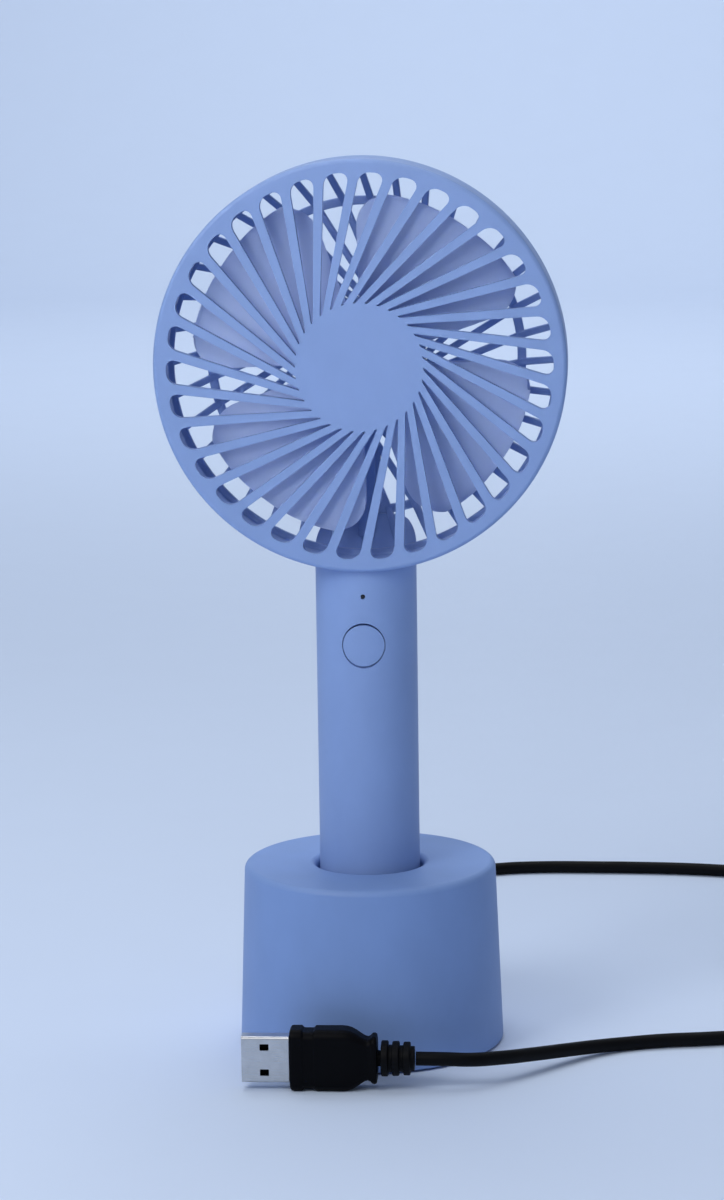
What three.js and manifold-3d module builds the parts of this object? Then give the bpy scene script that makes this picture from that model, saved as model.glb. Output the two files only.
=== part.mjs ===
// Hand-held rechargeable fan standing in its round charging dock, with the charging cable.
// Millimetres, +Z up. The origin is the middle of the dock's underside, and the fan faces -Y.
import * as THREE from 'three';
import { mergeVertices } from 'three/addons/utils/BufferGeometryUtils.js';
import Module from 'manifold-3d';

const wasm = await Module();
wasm.setup();

// ---------------------------------------------------------------- driving dimensions
const gap = 0.3; // between pieces that touch without moving
const runningGap = 0.05; // between a shaft and its bush, and between turned pieces on one axis
const fine = 36; // sides of a large round piece
const round = 20; // sides of a medium round piece
const small = 10; // sides of a screw, a pin or a boss
const far = 300; // reach of a cutting block past everything

const head = { radius: 52.5, faceY: -15, clearOfDock: 79.2 };
const ring = { width: 3.4, depth: 3.9, edge: 1.2, lip: 1.0, lipDepth: 2.2 };
const frontSpoke = { count: 34, width: 2.0, depth: 2.4, inset: 0.4, tangent: 11.0, turn: -7.03 };
const hubDisc = { radius: 16.3, depth: 2.2 };

const rim = { wall: 2.0, backY: 1.2 };
const cage = { ringInset: 12.1, ringWidth: 2.3, faceY: 11.4, depth: 2.0, discRadius: 13.2 };
const rearSpoke = { count: 36, width: 1.8, tangent: 10.0, turn: 21.8 };
const strut = { topWidth: 4.6, bottomWidth: 8.6, grooveWidth: 3.0, grooveDepth: 0.8 };
const wireCover = { wall: 0.6, standoff: 1.9, hubStandoff: 4.5, slope: 4.6, neckSlope: 9.3, mountClearance: 2.1 };

const impeller = { blades: 4, tipClearance: 7.0, span: 73, turn: 55, thickness: 1.5, pitch: 8.0 };
const blade = { middleY: -2.6, cornerRadius: 9 };
const hub = { radius: 14.5, wall: 1.2, frontY: -11.0, backY: 2.5, frontWall: 1.6, bossRadius: 3.0 };

const shaft = { radius: 1.5, backY: 9.9 };
const bush = { radius: 3.3, frontY: -6.2, backY: 8.6 };
const can = { wall: 0.8, frontWall: 0.8, backY: 2.2 };
const magnet = { wall: 1.3, frontY: -7.4, backY: 1.8 };
const stator = { teeth: 6, airGap: 0.6, frontY: -4.8, backY: 0.2, stem: 2.6, collar: 5.2 };
const coil = { thickness: 0.9, inner: 5.7, tipClearance: 1.9, linkWidth: 1.0 };
const motorBoard = { radius: 10.5, frontY: 3.3, thickness: 1.0 };
const mount = { radius: 12.8, frontY: 6.5, thickness: 1.7, bossRadius: 2.2, bossCircle: 8.6, bosses: 3 };
const clip = { radius: 2.7, thickness: 0.5 };
const motorScrew = { headRadius: 2.0, headHeight: 1.2, radius: 0.95, length: 3.0 };

const handle = { radius: 13.1, wall: 1.7, bottomZ: 14.3, seam: 0.3 };
const cap = { thickness: 2.0, spigotHeight: 2.6, spigotWall: 1.2 };
const spigot = { height: 4.4, wall: 2.2 };
const capScrew = { sink: 0.6, headRadius: 1.8, headHeight: 0.9, radius: 0.9, length: 5.4, bossRadius: 2.2 };
const chargePad = { radius: 3.0, thickness: 0.7, spacing: 10.0 };
const cell = { radius: 9.2, length: 65.0, bottomZ: 24.6 };
const tab = { thickness: 0.3, width: 4.0 };
const board = { width: 19.0, thickness: 1.2, frontY: -5.3, bottomZ: 92.0, topZ: 122.0 };
const button = { radius: 5.35, z: 107.7, flange: 6.2, flangeDepth: 0.6, stemRadius: 1.5, travel: 0.5 };
const tactSwitch = { size: 6.0, depth: 1.8, plungerRadius: 1.7, plungerStep: 0.5 };
const lightPipe = { radius: 0.55, collar: 1.2, z: 120.5 };

const dock = { bottomRadius: 34.7, topRadius: 32.9, height: 47.9, liftZ: 0.6, wall: 2.2, topEdge: 2.0 };
const well = { clearance: 0.9, wall: 2.0, floor: 1.8, lip: 2.2, deck: 2.5 };
const foot = { radius: 4.0, thickness: 1.2, circle: 26.0, count: 3 };
const plate = { thickness: 2.0 };
const dockBoard = { width: 22.0, frontY: -12.0, backY: 29.4, z: 4.6, thickness: 1.2 };
const dockScrew = { circle: 25.0, headRadius: 2.6, headHeight: 1.1, radius: 1.1, length: 7.5 };
const boss = { radius: 2.6, footRadius: 4.0, shoulderZ: 12.1 };
const ballast = { width: 12.6, height: 8.0 };
const pogo = { barrelRadius: 1.5, barrelWall: 0.35, pinRadius: 0.8, flange: 0.25, topZ: 11.9 };
const pogoSpring = { turns: 4, wire: 0.16 };

const socket = { width: 7.9, height: 2.8, wall: 0.35, depth: 5.8, mouthInset: 1.1 };
const microShell = { width: 6.8, height: 1.8, wall: 0.25, length: 5.1 };
const microBody = { width: 10.6, height: 7.2, length: 16.2, corner: 1.6 };
const relief = { length: 11.7, startRadius: 3.3, endRadius: 2.3, ribs: 4, ribDepth: 0.45 };
const cord = { diameter: 3.7 };
const coilRing = { x: 126.0, y: 72.0, inner: 11.8, outer: 26.7, bottomZ: 0.6, height: 3.7 };
const tie = { width: 6.0, thickness: 0.5 };
const usbPlug = { x: -17.6, y: -45.4, height: 16.0, depth: 8.0, length: 22.0, neck: 0.7, neckRadius: 2.0 };
const usbShell = { width: 12.0, height: 4.5, wall: 0.35, length: 12.0, window: 2.3, windowZ: 3.4 };
const usbRelief = { length: 8.4, startRadius: 4.5, endRadius: 4.3, ribs: 3, ribDepth: 1.0 };

// ---------------------------------------------------------------- sizes that follow
const headZ = dock.height + head.clearOfDock + head.radius;
const handleTopZ = headZ - head.radius + gap;
const wellRadius = handle.radius + well.clearance;
const wellFloorZ = handle.bottomZ - gap;
const wellBottomZ = wellFloorZ - well.floor;
const handleInner = handle.radius - handle.wall;
const capCircle = handleInner - capScrew.bossRadius + capScrew.sink;
const ringInner = head.radius - ring.width;
const ringBackY = head.faceY + ring.depth;
const rimInner = head.radius - rim.wall;
const cageRing = head.radius - cage.ringInset;
const tipRadius = rimInner - impeller.tipClearance;
const canRadius = hub.radius - hub.wall - gap;
const hubInnerY = hub.frontY + hub.frontWall;
const magnetRadius = canRadius - can.wall - 2 * runningGap;
const statorRadius = magnetRadius - magnet.wall - stator.airGap;
const plateZ = dock.liftZ;
const plateTopZ = plateZ + plate.thickness;
const boardTopZ = dockBoard.z + dockBoard.thickness;
const socketZ = boardTopZ + gap + socket.height / 2;
const plugZ = usbPlug.height / 2;

const dockOuter = (z) => {
  const t = (z - dock.liftZ) / (dock.height - dock.liftZ);
  return THREE.MathUtils.lerp(dock.bottomRadius, dock.topRadius, t);
};
const socketMouthY = dockOuter(socketZ) - socket.mouthInset;

// Where the cord runs. The coil takes up the length between the two runs.
const rearRun = [
  [0, 62.3, 7.3], [0, 69, 7.1], [0, 77, 5.6], [0, 85, 3.5], [0, 93, 2.3], [0, 102, 1.9],
  [0, 116, 1.9], [0, 128, 1.9], [1, 138.5, 1.9], [4.6, 149, 1.9], [11, 158.5, 1.9],
  [19.8, 165.8, 1.9], [30, 170.3, 1.9], [42, 172.2, 1.9], [57, 172.3, 1.9], [73, 171.8, 1.9],
  [88, 170.4, 1.9], [102, 167.4, 1.9], [116, 162, 1.9], [128, 153.5, 1.9], [138, 141.5, 1.9],
  [145, 127, 1.9], [149, 112, 1.9], [150.8, 98, 2.1], [151, 87, 2.4],
];
const frontRun = [
  [139.9, 66.5, 6.5], [140.3, 58, 6.5], [140.5, 50, 6.5], [140.1, 40.5, 5.2], [138.4, 31, 3.3],
  [134.6, 21.8, 2.2], [128.5, 12.6, 1.9], [120, 5, 1.9], [110, -0.6, 1.9], [99, -4.4, 1.9],
  [88, -6.8, 1.9], [77, -8.7, 1.9], [67, -11.7, 1.9], [59, -16.5, 2.5], [51, -23.5, 3.6],
  [43, -31.6, 5.0], [35, -39.2, 6.4], [27.8, -43.8, 7.3], [21, -45.3, 7.9], [14.1, -45.4, 8.0],
];

// ---------------------------------------------------------------- finishes
const finish = (color, roughness, metalness) => () =>
  new THREE.MeshStandardMaterial({ color, roughness, metalness });
const lavender = finish(0x7a94c8, 0.45, 0);
const blackPlastic = finish(0x0b0d11, 0.4, 0);
const blackRubber = finish(0x101114, 0.8, 0);
const whitePlastic = finish(0xe8e8e4, 0.4, 0);
const clearPlastic = finish(0xf2f4f6, 0.1, 0);
const steel = finish(0xb4b8bd, 0.3, 1);
const brass = finish(0xc9a35a, 0.3, 1);
const gold = finish(0xd9b45c, 0.25, 1);
const copper = finish(0xb0622f, 0.35, 1);
const circuitGreen = finish(0x1f5a3a, 0.5, 0);
const cellWrap = finish(0x3f7fb5, 0.4, 0);
const magnetGrey = finish(0x34363a, 0.6, 0.4);
const ironGrey = finish(0x5a5d61, 0.6, 0.8);
const redWire = finish(0xb02020, 0.5, 0);

// ---------------------------------------------------------------- solids
function solid(geometry) {
  geometry.deleteAttribute('normal');
  geometry.deleteAttribute('uv');
  const merged = mergeVertices(geometry, 1e-5);
  const vertProperties = new Float32Array(merged.attributes.position.array);
  const corners = merged.index.array;
  const triVerts = [];
  for (let i = 0; i < corners.length; i += 3) {
    const [a, b, c] = [corners[i], corners[i + 1], corners[i + 2]];
    if (a !== b && b !== c && a !== c) triVerts.push(a, b, c);
  }
  const build = (tris) => new wasm.Manifold(
    new wasm.Mesh({ numProp: 3, vertProperties, triVerts: new Uint32Array(tris) }));
  const made = build(triVerts);
  if (made.volume() > 0) return made;
  const turned = [];
  for (let i = 0; i < triVerts.length; i += 3) turned.push(triVerts[i], triVerts[i + 2], triVerts[i + 1]);
  return build(turned);
}

const join = (first, ...rest) => rest.reduce((whole, part) => whole.add(part), first);
const cut = (first, ...rest) => rest.reduce((whole, part) => whole.subtract(part), first);
const repeat = (count, make) => Array.from({ length: count }, (_, i) => make(i));

const box = (x0, x1, y0, y1, z0, z1) =>
  solid(new THREE.BoxGeometry(x1 - x0, y1 - y0, z1 - z0)
    .translate((x0 + x1) / 2, (y0 + y1) / 2, (z0 + z1) / 2));

// A profile of [radius, height] points turned about Y (the head's axis), Z or X.
function turned(profile, sides, axis = 'y') {
  const geometry = new THREE.LatheGeometry(profile.map(([r, h]) => new THREE.Vector2(r, h)), sides);
  if (axis === 'z') geometry.rotateX(Math.PI / 2);
  if (axis === 'x') geometry.rotateZ(-Math.PI / 2);
  return solid(geometry);
}
const rod = (radius, low, high, sides, axis = 'y') =>
  turned([[0, low], [radius, low], [radius, high], [0, high]], sides, axis);
const hoop = (inner, outer, low, high, sides, axis = 'y') =>
  turned([[inner, low], [outer, low], [outer, high], [inner, high], [inner, low]], sides, axis);

// An outline drawn in the head's plane (x, z), between two depths.
function headPlate(shape, frontY, backY, curveSegments = 12) {
  const geometry = new THREE.ExtrudeGeometry(shape,
    { depth: backY - frontY, bevelEnabled: false, curveSegments });
  return solid(geometry.rotateX(Math.PI / 2).translate(0, backY, 0));
}
// An outline drawn in plan (x, y), between two heights.
const slab = (shape, low, high) =>
  solid(new THREE.ExtrudeGeometry(shape, { depth: high - low, bevelEnabled: false, curveSegments: 4 })
    .translate(0, 0, low));
// An outline drawn in side view (y, z), between two x.
const sidePlate = (points, low, high) =>
  solid(new THREE.ExtrudeGeometry(outline(points), { depth: high - low, bevelEnabled: false })
    .rotateX(Math.PI / 2).rotateZ(Math.PI / 2).translate(low, 0, 0));

const outline = (points) => new THREE.Shape(points.map(([x, y]) => new THREE.Vector2(x, y)));
function roundedBox(width, height, corner) {
  const shape = new THREE.Shape();
  const [w, h] = [width / 2, height / 2];
  shape.moveTo(-w + corner, -h).lineTo(w - corner, -h);
  shape.absarc(w - corner, -h + corner, corner, -Math.PI / 2, 0);
  shape.absarc(w - corner, h - corner, corner, 0, Math.PI / 2);
  shape.absarc(-w + corner, h - corner, corner, Math.PI / 2, Math.PI);
  shape.absarc(-w + corner, -h + corner, corner, Math.PI, 1.5 * Math.PI);
  return shape;
}
const arc = (cx, cy, radius, from, to, steps) => repeat(steps + 1, (i) => {
  const a = THREE.MathUtils.degToRad(from + ((to - from) * i) / steps);
  return [cx + radius * Math.cos(a), cy + radius * Math.sin(a)];
});

function tube(path, radius, sides, steps) {
  const section = new THREE.Shape(
    repeat(sides, (i) => {
      const a = (2 * Math.PI * (i + 0.5)) / sides;
      return new THREE.Vector2(radius * Math.cos(a), radius * Math.sin(a));
    }));
  return solid(new THREE.ExtrudeGeometry(section, { steps, extrudePath: path, bevelEnabled: false }));
}
const through = (points) => new THREE.CatmullRomCurve3(points.map((p) => new THREE.Vector3(...p)));

// Turns a piece about the head's axis, counter-clockwise as seen from the front.
const aboutHead = (piece, degrees) => piece.rotate([0, -degrees, 0]);

const model = new THREE.Group();
const headGroup = new THREE.Group();
headGroup.position.z = headZ;
model.add(headGroup);

function addTo(group, name, piece, material) {
  const { vertProperties, triVerts } = piece.getMesh();
  const geometry = new THREE.BufferGeometry();
  geometry.setAttribute('position', new THREE.BufferAttribute(vertProperties, 3));
  geometry.setIndex(new THREE.BufferAttribute(triVerts, 1));
  const mesh = new THREE.Mesh(geometry, material());
  mesh.name = name;
  group.add(mesh);
}
const add = (name, piece, material) => addTo(model, name, piece, material);
const addToHead = (name, piece, material) => addTo(headGroup, name, piece, material);

// A round-headed screw on the Z axis, its head's underside at z = 0 and its shank going up.
const screw = ({ headRadius, headHeight, radius, length }) =>
  cut(join(rod(headRadius, -headHeight, 0, small, 'z'), rod(radius, -headHeight / 2, length, small, 'z')),
    box(-headRadius * 0.6, headRadius * 0.6, -0.25, 0.25, -2 * headHeight, -headHeight * 0.6),
    box(-0.25, 0.25, -headRadius * 0.6, headRadius * 0.6, -2 * headHeight, -headHeight * 0.6));

// ---------------------------------------------------------------- front grille
function frontGrille() {
  const body = turned([
    [ringInner, head.faceY], [head.radius - ring.edge, head.faceY],
    ...arc(head.radius - ring.edge, head.faceY + ring.edge, ring.edge, -45, 0, 1),
    [head.radius, ringBackY], [rimInner - gap, ringBackY],
    [rimInner - gap, ringBackY + ring.lipDepth], [rimInner - gap - ring.lip, ringBackY + ring.lipDepth],
    [ringInner, ringBackY], [ringInner, head.faceY],
  ], fine);
  const disc = rod(hubDisc.radius, head.faceY, head.faceY + hubDisc.depth, fine);
  const reach = (radius) => Math.sqrt(radius ** 2 - frontSpoke.tangent ** 2);
  const frontY = head.faceY + frontSpoke.inset;
  const spoke = box(reach(hubDisc.radius - 1), reach(ringInner + 1), frontY, frontY + frontSpoke.depth,
    frontSpoke.tangent - frontSpoke.width / 2, frontSpoke.tangent + frontSpoke.width / 2);
  const spokes = repeat(frontSpoke.count,
    (i) => aboutHead(spoke, frontSpoke.turn + (360 * i) / frontSpoke.count));
  return join(body, disc, ...spokes);
}

// ---------------------------------------------------------------- rear housing and rear grille
const cageBackY = cage.faceY + cage.depth;
const cageOuter = rimInner - gap;
const neckLow = handleTopZ + gap - headZ;
const neckHigh = -(cageRing + cage.ringWidth / 2) - gap;
const slopeFrontY = rim.backY - cage.depth;

function rearHousing() {
  const wall = turned([
    [rimInner, ringBackY + gap], [head.radius, ringBackY + gap], [head.radius, rim.backY - ring.edge],
    [head.radius - ring.edge, rim.backY], [rimInner, rim.backY], [rimInner, ringBackY + gap],
  ], fine);
  // The neck stands on the handle and closes the bottom of the cage.
  const cavity = turned([
    [0, -far], [rimInner, -far], [rimInner, slopeFrontY], [cageRing, cage.faceY], [0, cage.faceY],
  ], fine);
  const forward = box(-far, far, -far, ringBackY + gap, -far, far);
  const column = cut(rod(handle.radius, neckLow, neckHigh, round, 'z'), cavity, forward);
  const plug = cut(hoop(handleInner - gap - spigot.wall, handleInner - gap,
    neckLow - spigot.height, neckLow + 0.6, round, 'z'),
  box(-far, far, -far, board.frontY + board.thickness + 1, neckLow - spigot.height - 1, neckLow), forward);
  const wireHole = box(-2.4, 2.4, 2.4, 7.0, neckLow - spigot.height - 1, neckHigh + 3);
  return cut(join(wall, column, plug), wireHole);
}

function rearSpokeSolid() {
  const reach = (radius) => Math.sqrt(radius ** 2 - rearSpoke.tangent ** 2);
  const [inner, bend, outer] = [cage.discRadius - 1, cageRing, cageOuter - 0.7].map(reach);
  const profile = outline([
    [inner, cage.faceY], [bend, cage.faceY], [outer, slopeFrontY], [outer, rim.backY],
    [bend + 1, cageBackY], [inner, cageBackY],
  ]);
  return solid(new THREE.ExtrudeGeometry(profile, { depth: rearSpoke.width, bevelEnabled: false })
    .translate(0, 0, -rearSpoke.tangent - rearSpoke.width / 2));
}

// A hood in front of the strut, from behind the hub to the neck. The wires run inside it.
function wireCoverSolid(half, inset) {
  const [top, low] = [-mount.radius - wireCover.mountClearance, neckHigh + gap];
  const face = cage.faceY - wireCover.standoff + inset;
  const beyond = inset > 0 ? 1 : 0;
  return sidePlate([
    [cage.faceY + 0.4, top + beyond], [cage.faceY - wireCover.hubStandoff + inset, top + beyond],
    [cage.faceY - wireCover.hubStandoff + inset, top], [face, top - wireCover.slope],
    [face, low + wireCover.neckSlope], [face - 2.2, low + 2.9], [face - 4.9, low],
    [face - 4.9, low - beyond], [cage.faceY + 0.4, low - beyond],
  ], -half, half);
}

function rearGrille() {
  const outerRing = hoop(cageOuter - 1.5, cageOuter, slopeFrontY, rim.backY, fine);
  const midRing = hoop(cageRing - cage.ringWidth / 2, cageRing + cage.ringWidth / 2,
    cage.faceY, cageBackY, fine);
  const disc = rod(cage.discRadius, cage.faceY, cageBackY, round);
  const spokes = repeat(rearSpoke.count,
    (i) => aboutHead(rearSpokeSolid(), rearSpoke.turn + (360 * i) / rearSpoke.count));
  const strutPlate = headPlate(outline([
    [-strut.topWidth / 2, -cage.discRadius + 1], [-strut.bottomWidth / 2, -cageRing],
    [strut.bottomWidth / 2, -cageRing], [strut.topWidth / 2, -cage.discRadius + 1],
  ]), cage.faceY, cageBackY);
  const neckRoom = rod(handle.radius + gap, neckLow - 20, neckHigh + gap, round, 'z');
  const half = strut.grooveWidth / 2;
  const groove = join(
    box(-half, half, cage.faceY - 1, cage.faceY + strut.grooveDepth, neckHigh - 6, -cage.discRadius - 1),
    wireCoverSolid(half, wireCover.wall));
  const [headBore, shankBore] = [motorScrew.headRadius + gap, motorScrew.radius + gap].map(
    (radius) => rod(radius, -20, 20, small));
  const screwHoles = repeat(mount.bosses, (i) => {
    const counterbore = headBore.translate([0, 20 + cageBackY - motorScrew.headHeight - gap, 0]);
    return aboutHead(join(counterbore, shankBore).translate([mount.bossCircle, 0, 0]), 90 + 120 * i);
  });
  const hood = wireCoverSolid(half + wireCover.wall, 0);
  return cut(join(outerRing, midRing, disc, ...spokes, strutPlate, hood), neckRoom, groove, ...screwHoles);
}

// ---------------------------------------------------------------- impeller and motor
function bladeSolid() {
  const [across, along] = [6, 5];
  const geometry = new THREE.BoxGeometry(1, impeller.thickness, 1, across, 1, along);
  const at = geometry.attributes.position;
  const rootRadius = hub.radius - hub.wall / 2;
  for (let i = 0; i < at.count; i += 1) {
    const side = 2 * at.getX(i);
    const radius = THREE.MathUtils.lerp(rootRadius, tipRadius, at.getZ(i) + 0.5);
    const toTip = Math.max(0, radius - (tipRadius - blade.cornerRadius));
    const rounding = blade.cornerRadius - Math.sqrt(blade.cornerRadius ** 2 - Math.min(toTip, 8.6) ** 2);
    const halfSpan = THREE.MathUtils.degToRad(impeller.span / 2) - rounding / radius;
    const angle = side * halfSpan;
    const pitch = side * impeller.pitch / 2;
    at.setXYZ(i, radius * Math.cos(angle), blade.middleY + at.getY(i) + pitch, -radius * Math.sin(angle));
  }
  return solid(geometry);
}

function impellerSolid() {
  const inner = hub.radius - hub.wall;
  const cup = turned([
    [0, hub.frontY], [hub.radius - 1, hub.frontY], [hub.radius, hub.frontY + 1], [hub.radius, hub.backY],
    [inner, hub.backY], [inner, hubInnerY], [hub.bossRadius, hubInnerY],
    [hub.bossRadius, bush.frontY - 0.4], [shaft.radius + runningGap, bush.frontY - 0.4],
    [shaft.radius + runningGap, hub.frontY + 0.6], [0, hub.frontY + 0.6],
  ], round);
  const blades = repeat(impeller.blades,
    (i) => aboutHead(bladeSolid(), impeller.turn + (360 * i) / impeller.blades));
  const space = rod(inner, hubInnerY, hub.backY + 20, round);
  return join(cup, ...blades.map((piece) => cut(piece, space)));
}

function statorCore() {
  const stem = box(stator.collar - 0.5, statorRadius - 0.8, stator.frontY, stator.backY,
    -stator.stem / 2, stator.stem / 2);
  const shoe = headPlate(outline([
    ...arc(0, 0, statorRadius, -22, 22, 4), ...arc(0, 0, statorRadius - 1.3, 22, -22, 4),
  ]), stator.frontY, stator.backY);
  const collar = hoop(bush.radius + runningGap, stator.collar, stator.frontY, stator.backY, round);
  const teeth = repeat(stator.teeth, (i) => aboutHead(join(stem, shoe), (360 * i) / stator.teeth));
  return join(collar, ...teeth);
}

function statorCoils() {
  const clear = gap;
  const coilOuter = statorRadius - coil.tipClearance;
  const [halfIn, lowIn, highIn] = [stator.stem / 2 + clear, stator.frontY - clear, stator.backY + clear];
  const winding = cut(
    box(coil.inner, coilOuter, lowIn - coil.thickness, highIn + coil.thickness,
      -halfIn - coil.thickness, halfIn + coil.thickness),
    box(coil.inner - 1, coilOuter + 1, lowIn, highIn, -halfIn, halfIn));
  const link = hoop(coil.inner + 0.2, coil.inner + 0.2 + coil.linkWidth,
    highIn + coil.thickness - 0.5, highIn + coil.thickness, round);
  return join(link, ...repeat(stator.teeth, (i) => aboutHead(winding, (360 * i) / stator.teeth)));
}

function motorMount() {
  const backY = mount.frontY + mount.thickness;
  const sleeve = hoop(bush.radius + runningGap, bush.radius + 1.7,
    motorBoard.frontY + motorBoard.thickness + gap, backY, round);
  const flange = hoop(bush.radius + runningGap, mount.radius, mount.frontY, backY, round);
  const post = cut(rod(mount.bossRadius, mount.frontY + 0.4, cage.faceY - gap, small),
    rod(motorScrew.radius + gap, backY, cage.faceY + 1, small));
  const posts = repeat(mount.bosses,
    (i) => aboutHead(post.translate([mount.bossCircle, 0, 0]), 90 + (360 * i) / mount.bosses));
  const wireNotch = box(-2, 2, 0, 20, -mount.radius - 1, -mount.radius + 3.4);
  return cut(join(flange, sleeve, ...posts), wireNotch);
}

function motorWire(x) {
  const boardBackY = motorBoard.frontY + motorBoard.thickness;
  const neckZ = handleTopZ - headZ;
  return tube(through([
    [x, boardBackY + 0.9, -motorBoard.radius + 1.4], [x, boardBackY + 1.0, -mount.radius + 0.6],
    [x, 8.4, -mount.radius - 1.8], [x, cage.faceY - 0.3, -mount.radius - 6.5],
    [x, cage.faceY - 0.3, -cageRing + 12.5], [x, cage.faceY - 0.3, -cageRing + 8], [x, 9.0, -cageRing + 1.5],
    [x, 5.2, neckZ + 8], [x, 4.7, neckZ], [x, 3.2, neckZ - 5.5],
    [x, board.frontY + board.thickness + 1.4, board.topZ - headZ - 3],
  ]), 0.5, 5, Math.round(head.radius * 0.48));
}

addToHead('front_grille', frontGrille(), lavender);
addToHead('rear_housing', rearHousing(), lavender);
addToHead('rear_grille', rearGrille(), lavender);
addToHead('impeller', impellerSolid(), lavender);
addToHead('rotor_can', turned([
  [hub.bossRadius + gap, hubInnerY + gap], [canRadius, hubInnerY + gap], [canRadius, can.backY],
  [canRadius - can.wall, can.backY], [canRadius - can.wall, hubInnerY + gap + can.frontWall],
  [hub.bossRadius + gap, hubInnerY + gap + can.frontWall], [hub.bossRadius + gap, hubInnerY + gap],
], round), steel);
addToHead('magnet_ring', hoop(magnetRadius - magnet.wall, magnetRadius, magnet.frontY, magnet.backY, round),
  magnetGrey);
addToHead('motor_shaft', rod(shaft.radius, hub.frontY + 0.9, shaft.backY, round), steel);
addToHead('shaft_clip', hoop(shaft.radius + runningGap, clip.radius, bush.backY + gap,
  bush.backY + gap + clip.thickness, round), steel);
addToHead('motor_bush', hoop(shaft.radius + runningGap, bush.radius, bush.frontY, bush.backY, round), brass);
addToHead('stator_core', statorCore(), ironGrey);
addToHead('stator_coils', statorCoils(), copper);
addToHead('motor_board', hoop(bush.radius + gap, motorBoard.radius, motorBoard.frontY,
  motorBoard.frontY + motorBoard.thickness, round), circuitGreen);
addToHead('motor_mount', motorMount(), whitePlastic);
repeat(mount.bosses, (i) => {
  const seatY = cage.faceY + cage.depth - motorScrew.headHeight;
  const piece = screw(motorScrew).rotate([90, 0, 0]).translate([mount.bossCircle, seatY, 0]);
  return addToHead(`motor_screw_${i + 1}`, aboutHead(piece, 90 + (360 * i) / mount.bosses), steel);
});
addToHead('motor_wire_red', motorWire(-0.75), redWire);
addToHead('motor_wire_black', motorWire(0.75), blackRubber);

// ---------------------------------------------------------------- handle
const shellLowZ = handle.bottomZ + cap.thickness + gap;
const seamY = handle.seam / 2;
const screwTopZ = shellLowZ + gap;

function handleShell(front) {
  const sideways = front ? -1 : 1;
  const wall = hoop(handleInner, handle.radius, shellLowZ, handleTopZ, round, 'z');
  const post = cut(rod(capScrew.bossRadius, screwTopZ, cell.bottomZ - 1.3, small, 'z'),
    rod(capScrew.radius + gap, 0, cell.bottomZ, small, 'z'))
    .translate([0, sideways * capCircle, 0]);
  const half = front ? box(-far, far, -seamY, far, -far, far) : box(-far, far, -far, seamY, -far, far);
  const rimClear = cut(
    rod(head.radius + gap, -far, far, fine).translate([0, 0, headZ]),
    box(-far, far, -far, far, -far, handleTopZ - 20));
  const shell = cut(join(wall, post), half, rimClear);
  if (!front) return shell;
  return cut(shell,
    rod(button.radius + gap, -30, 0, round).translate([0, 0, button.z]),
    rod(lightPipe.radius + gap, -30, 0, small).translate([0, 0, lightPipe.z]));
}

function endCap() {
  const topZ = handle.bottomZ + cap.thickness;
  const disc = turned([
    [0, handle.bottomZ], [handle.radius - 1, handle.bottomZ], [handle.radius, handle.bottomZ + 1],
    [handle.radius, topZ], [0, topZ],
  ], round, 'z');
  const collar = hoop(handleInner - gap - cap.spigotWall, handleInner - gap,
    topZ - 0.5, topZ + cap.spigotHeight, round, 'z');
  const room = capScrew.bossRadius + gap;
  const bossRooms = [-1, 1].map((side) => box(-room, room, side > 0 ? 4 : -20, side > 0 ? 20 : -4,
    topZ, topZ + 10));
  const padRecess = rod(chargePad.radius + gap, 0, handle.bottomZ + chargePad.thickness + gap, small, 'z');
  const headRecess = rod(capScrew.headRadius + gap, 0, handle.bottomZ + capScrew.headHeight + gap,
    small, 'z');
  const shank = rod(capScrew.radius + gap, 0, topZ + 1, small, 'z');
  return cut(join(disc, collar), ...bossRooms,
    ...[-1, 1].map((side) => padRecess.translate([side * chargePad.spacing / 2, 0, 0])),
    ...[-1, 1].map((side) => join(headRecess, shank).translate([0, side * capCircle, 0])));
}

const tactFrontY = board.frontY - gap - tactSwitch.depth;
const plungerFrontY = tactFrontY - tactSwitch.plungerStep;
const plungerSeatY = board.frontY - gap - 0.3;
const buttonSeatY = plungerFrontY - gap - 0.5 - button.flangeDepth;

function buttonCap() {
  // The face follows the handle's round front.
  const face = rod(button.radius, -handle.radius - 2, buttonSeatY, round)
    .intersect(rod(handle.radius, -20, 20, fine, 'z'));
  const flange = rod(button.flange, buttonSeatY - 0.05, buttonSeatY + button.flangeDepth, round);
  const stem = rod(button.stemRadius, buttonSeatY, plungerFrontY - gap, small);
  return join(face, flange, stem).translate([0, 0, button.z]);
}

function tactSwitchBody() {
  const half = tactSwitch.size / 2;
  return cut(box(-half, half, tactFrontY, board.frontY - gap, -half, half),
    rod(tactSwitch.plungerRadius + gap, -20, plungerSeatY, small)).translate([0, 0, button.z]);
}

function lightPipeSolid() {
  const collarFrontY = -handleInner + 0.9;
  return turned([
    [0, -handle.radius + 0.1], [lightPipe.radius, -handle.radius + 0.1], [lightPipe.radius, collarFrontY],
    [lightPipe.collar, collarFrontY], [lightPipe.collar, board.frontY - gap], [0, board.frontY - gap],
  ], small).translate([0, 0, lightPipe.z]);
}

// A nickel strip from the cell's lower end, up its back and over to the board.
function lowerTab() {
  const [low, top] = [cell.bottomZ - gap, cell.bottomZ + cell.length + 2.4];
  const backY = cell.radius + gap;
  const t = tab.thickness;
  const frontY = board.frontY + board.thickness + gap;
  return sidePlate([
    [-2.5, low - t], [backY + t, low - t], [backY + t, top], [frontY, top], [frontY, top - t],
    [backY, top - t], [backY, low], [-2.5, low],
  ], -tab.width / 2, tab.width / 2);
}

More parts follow.
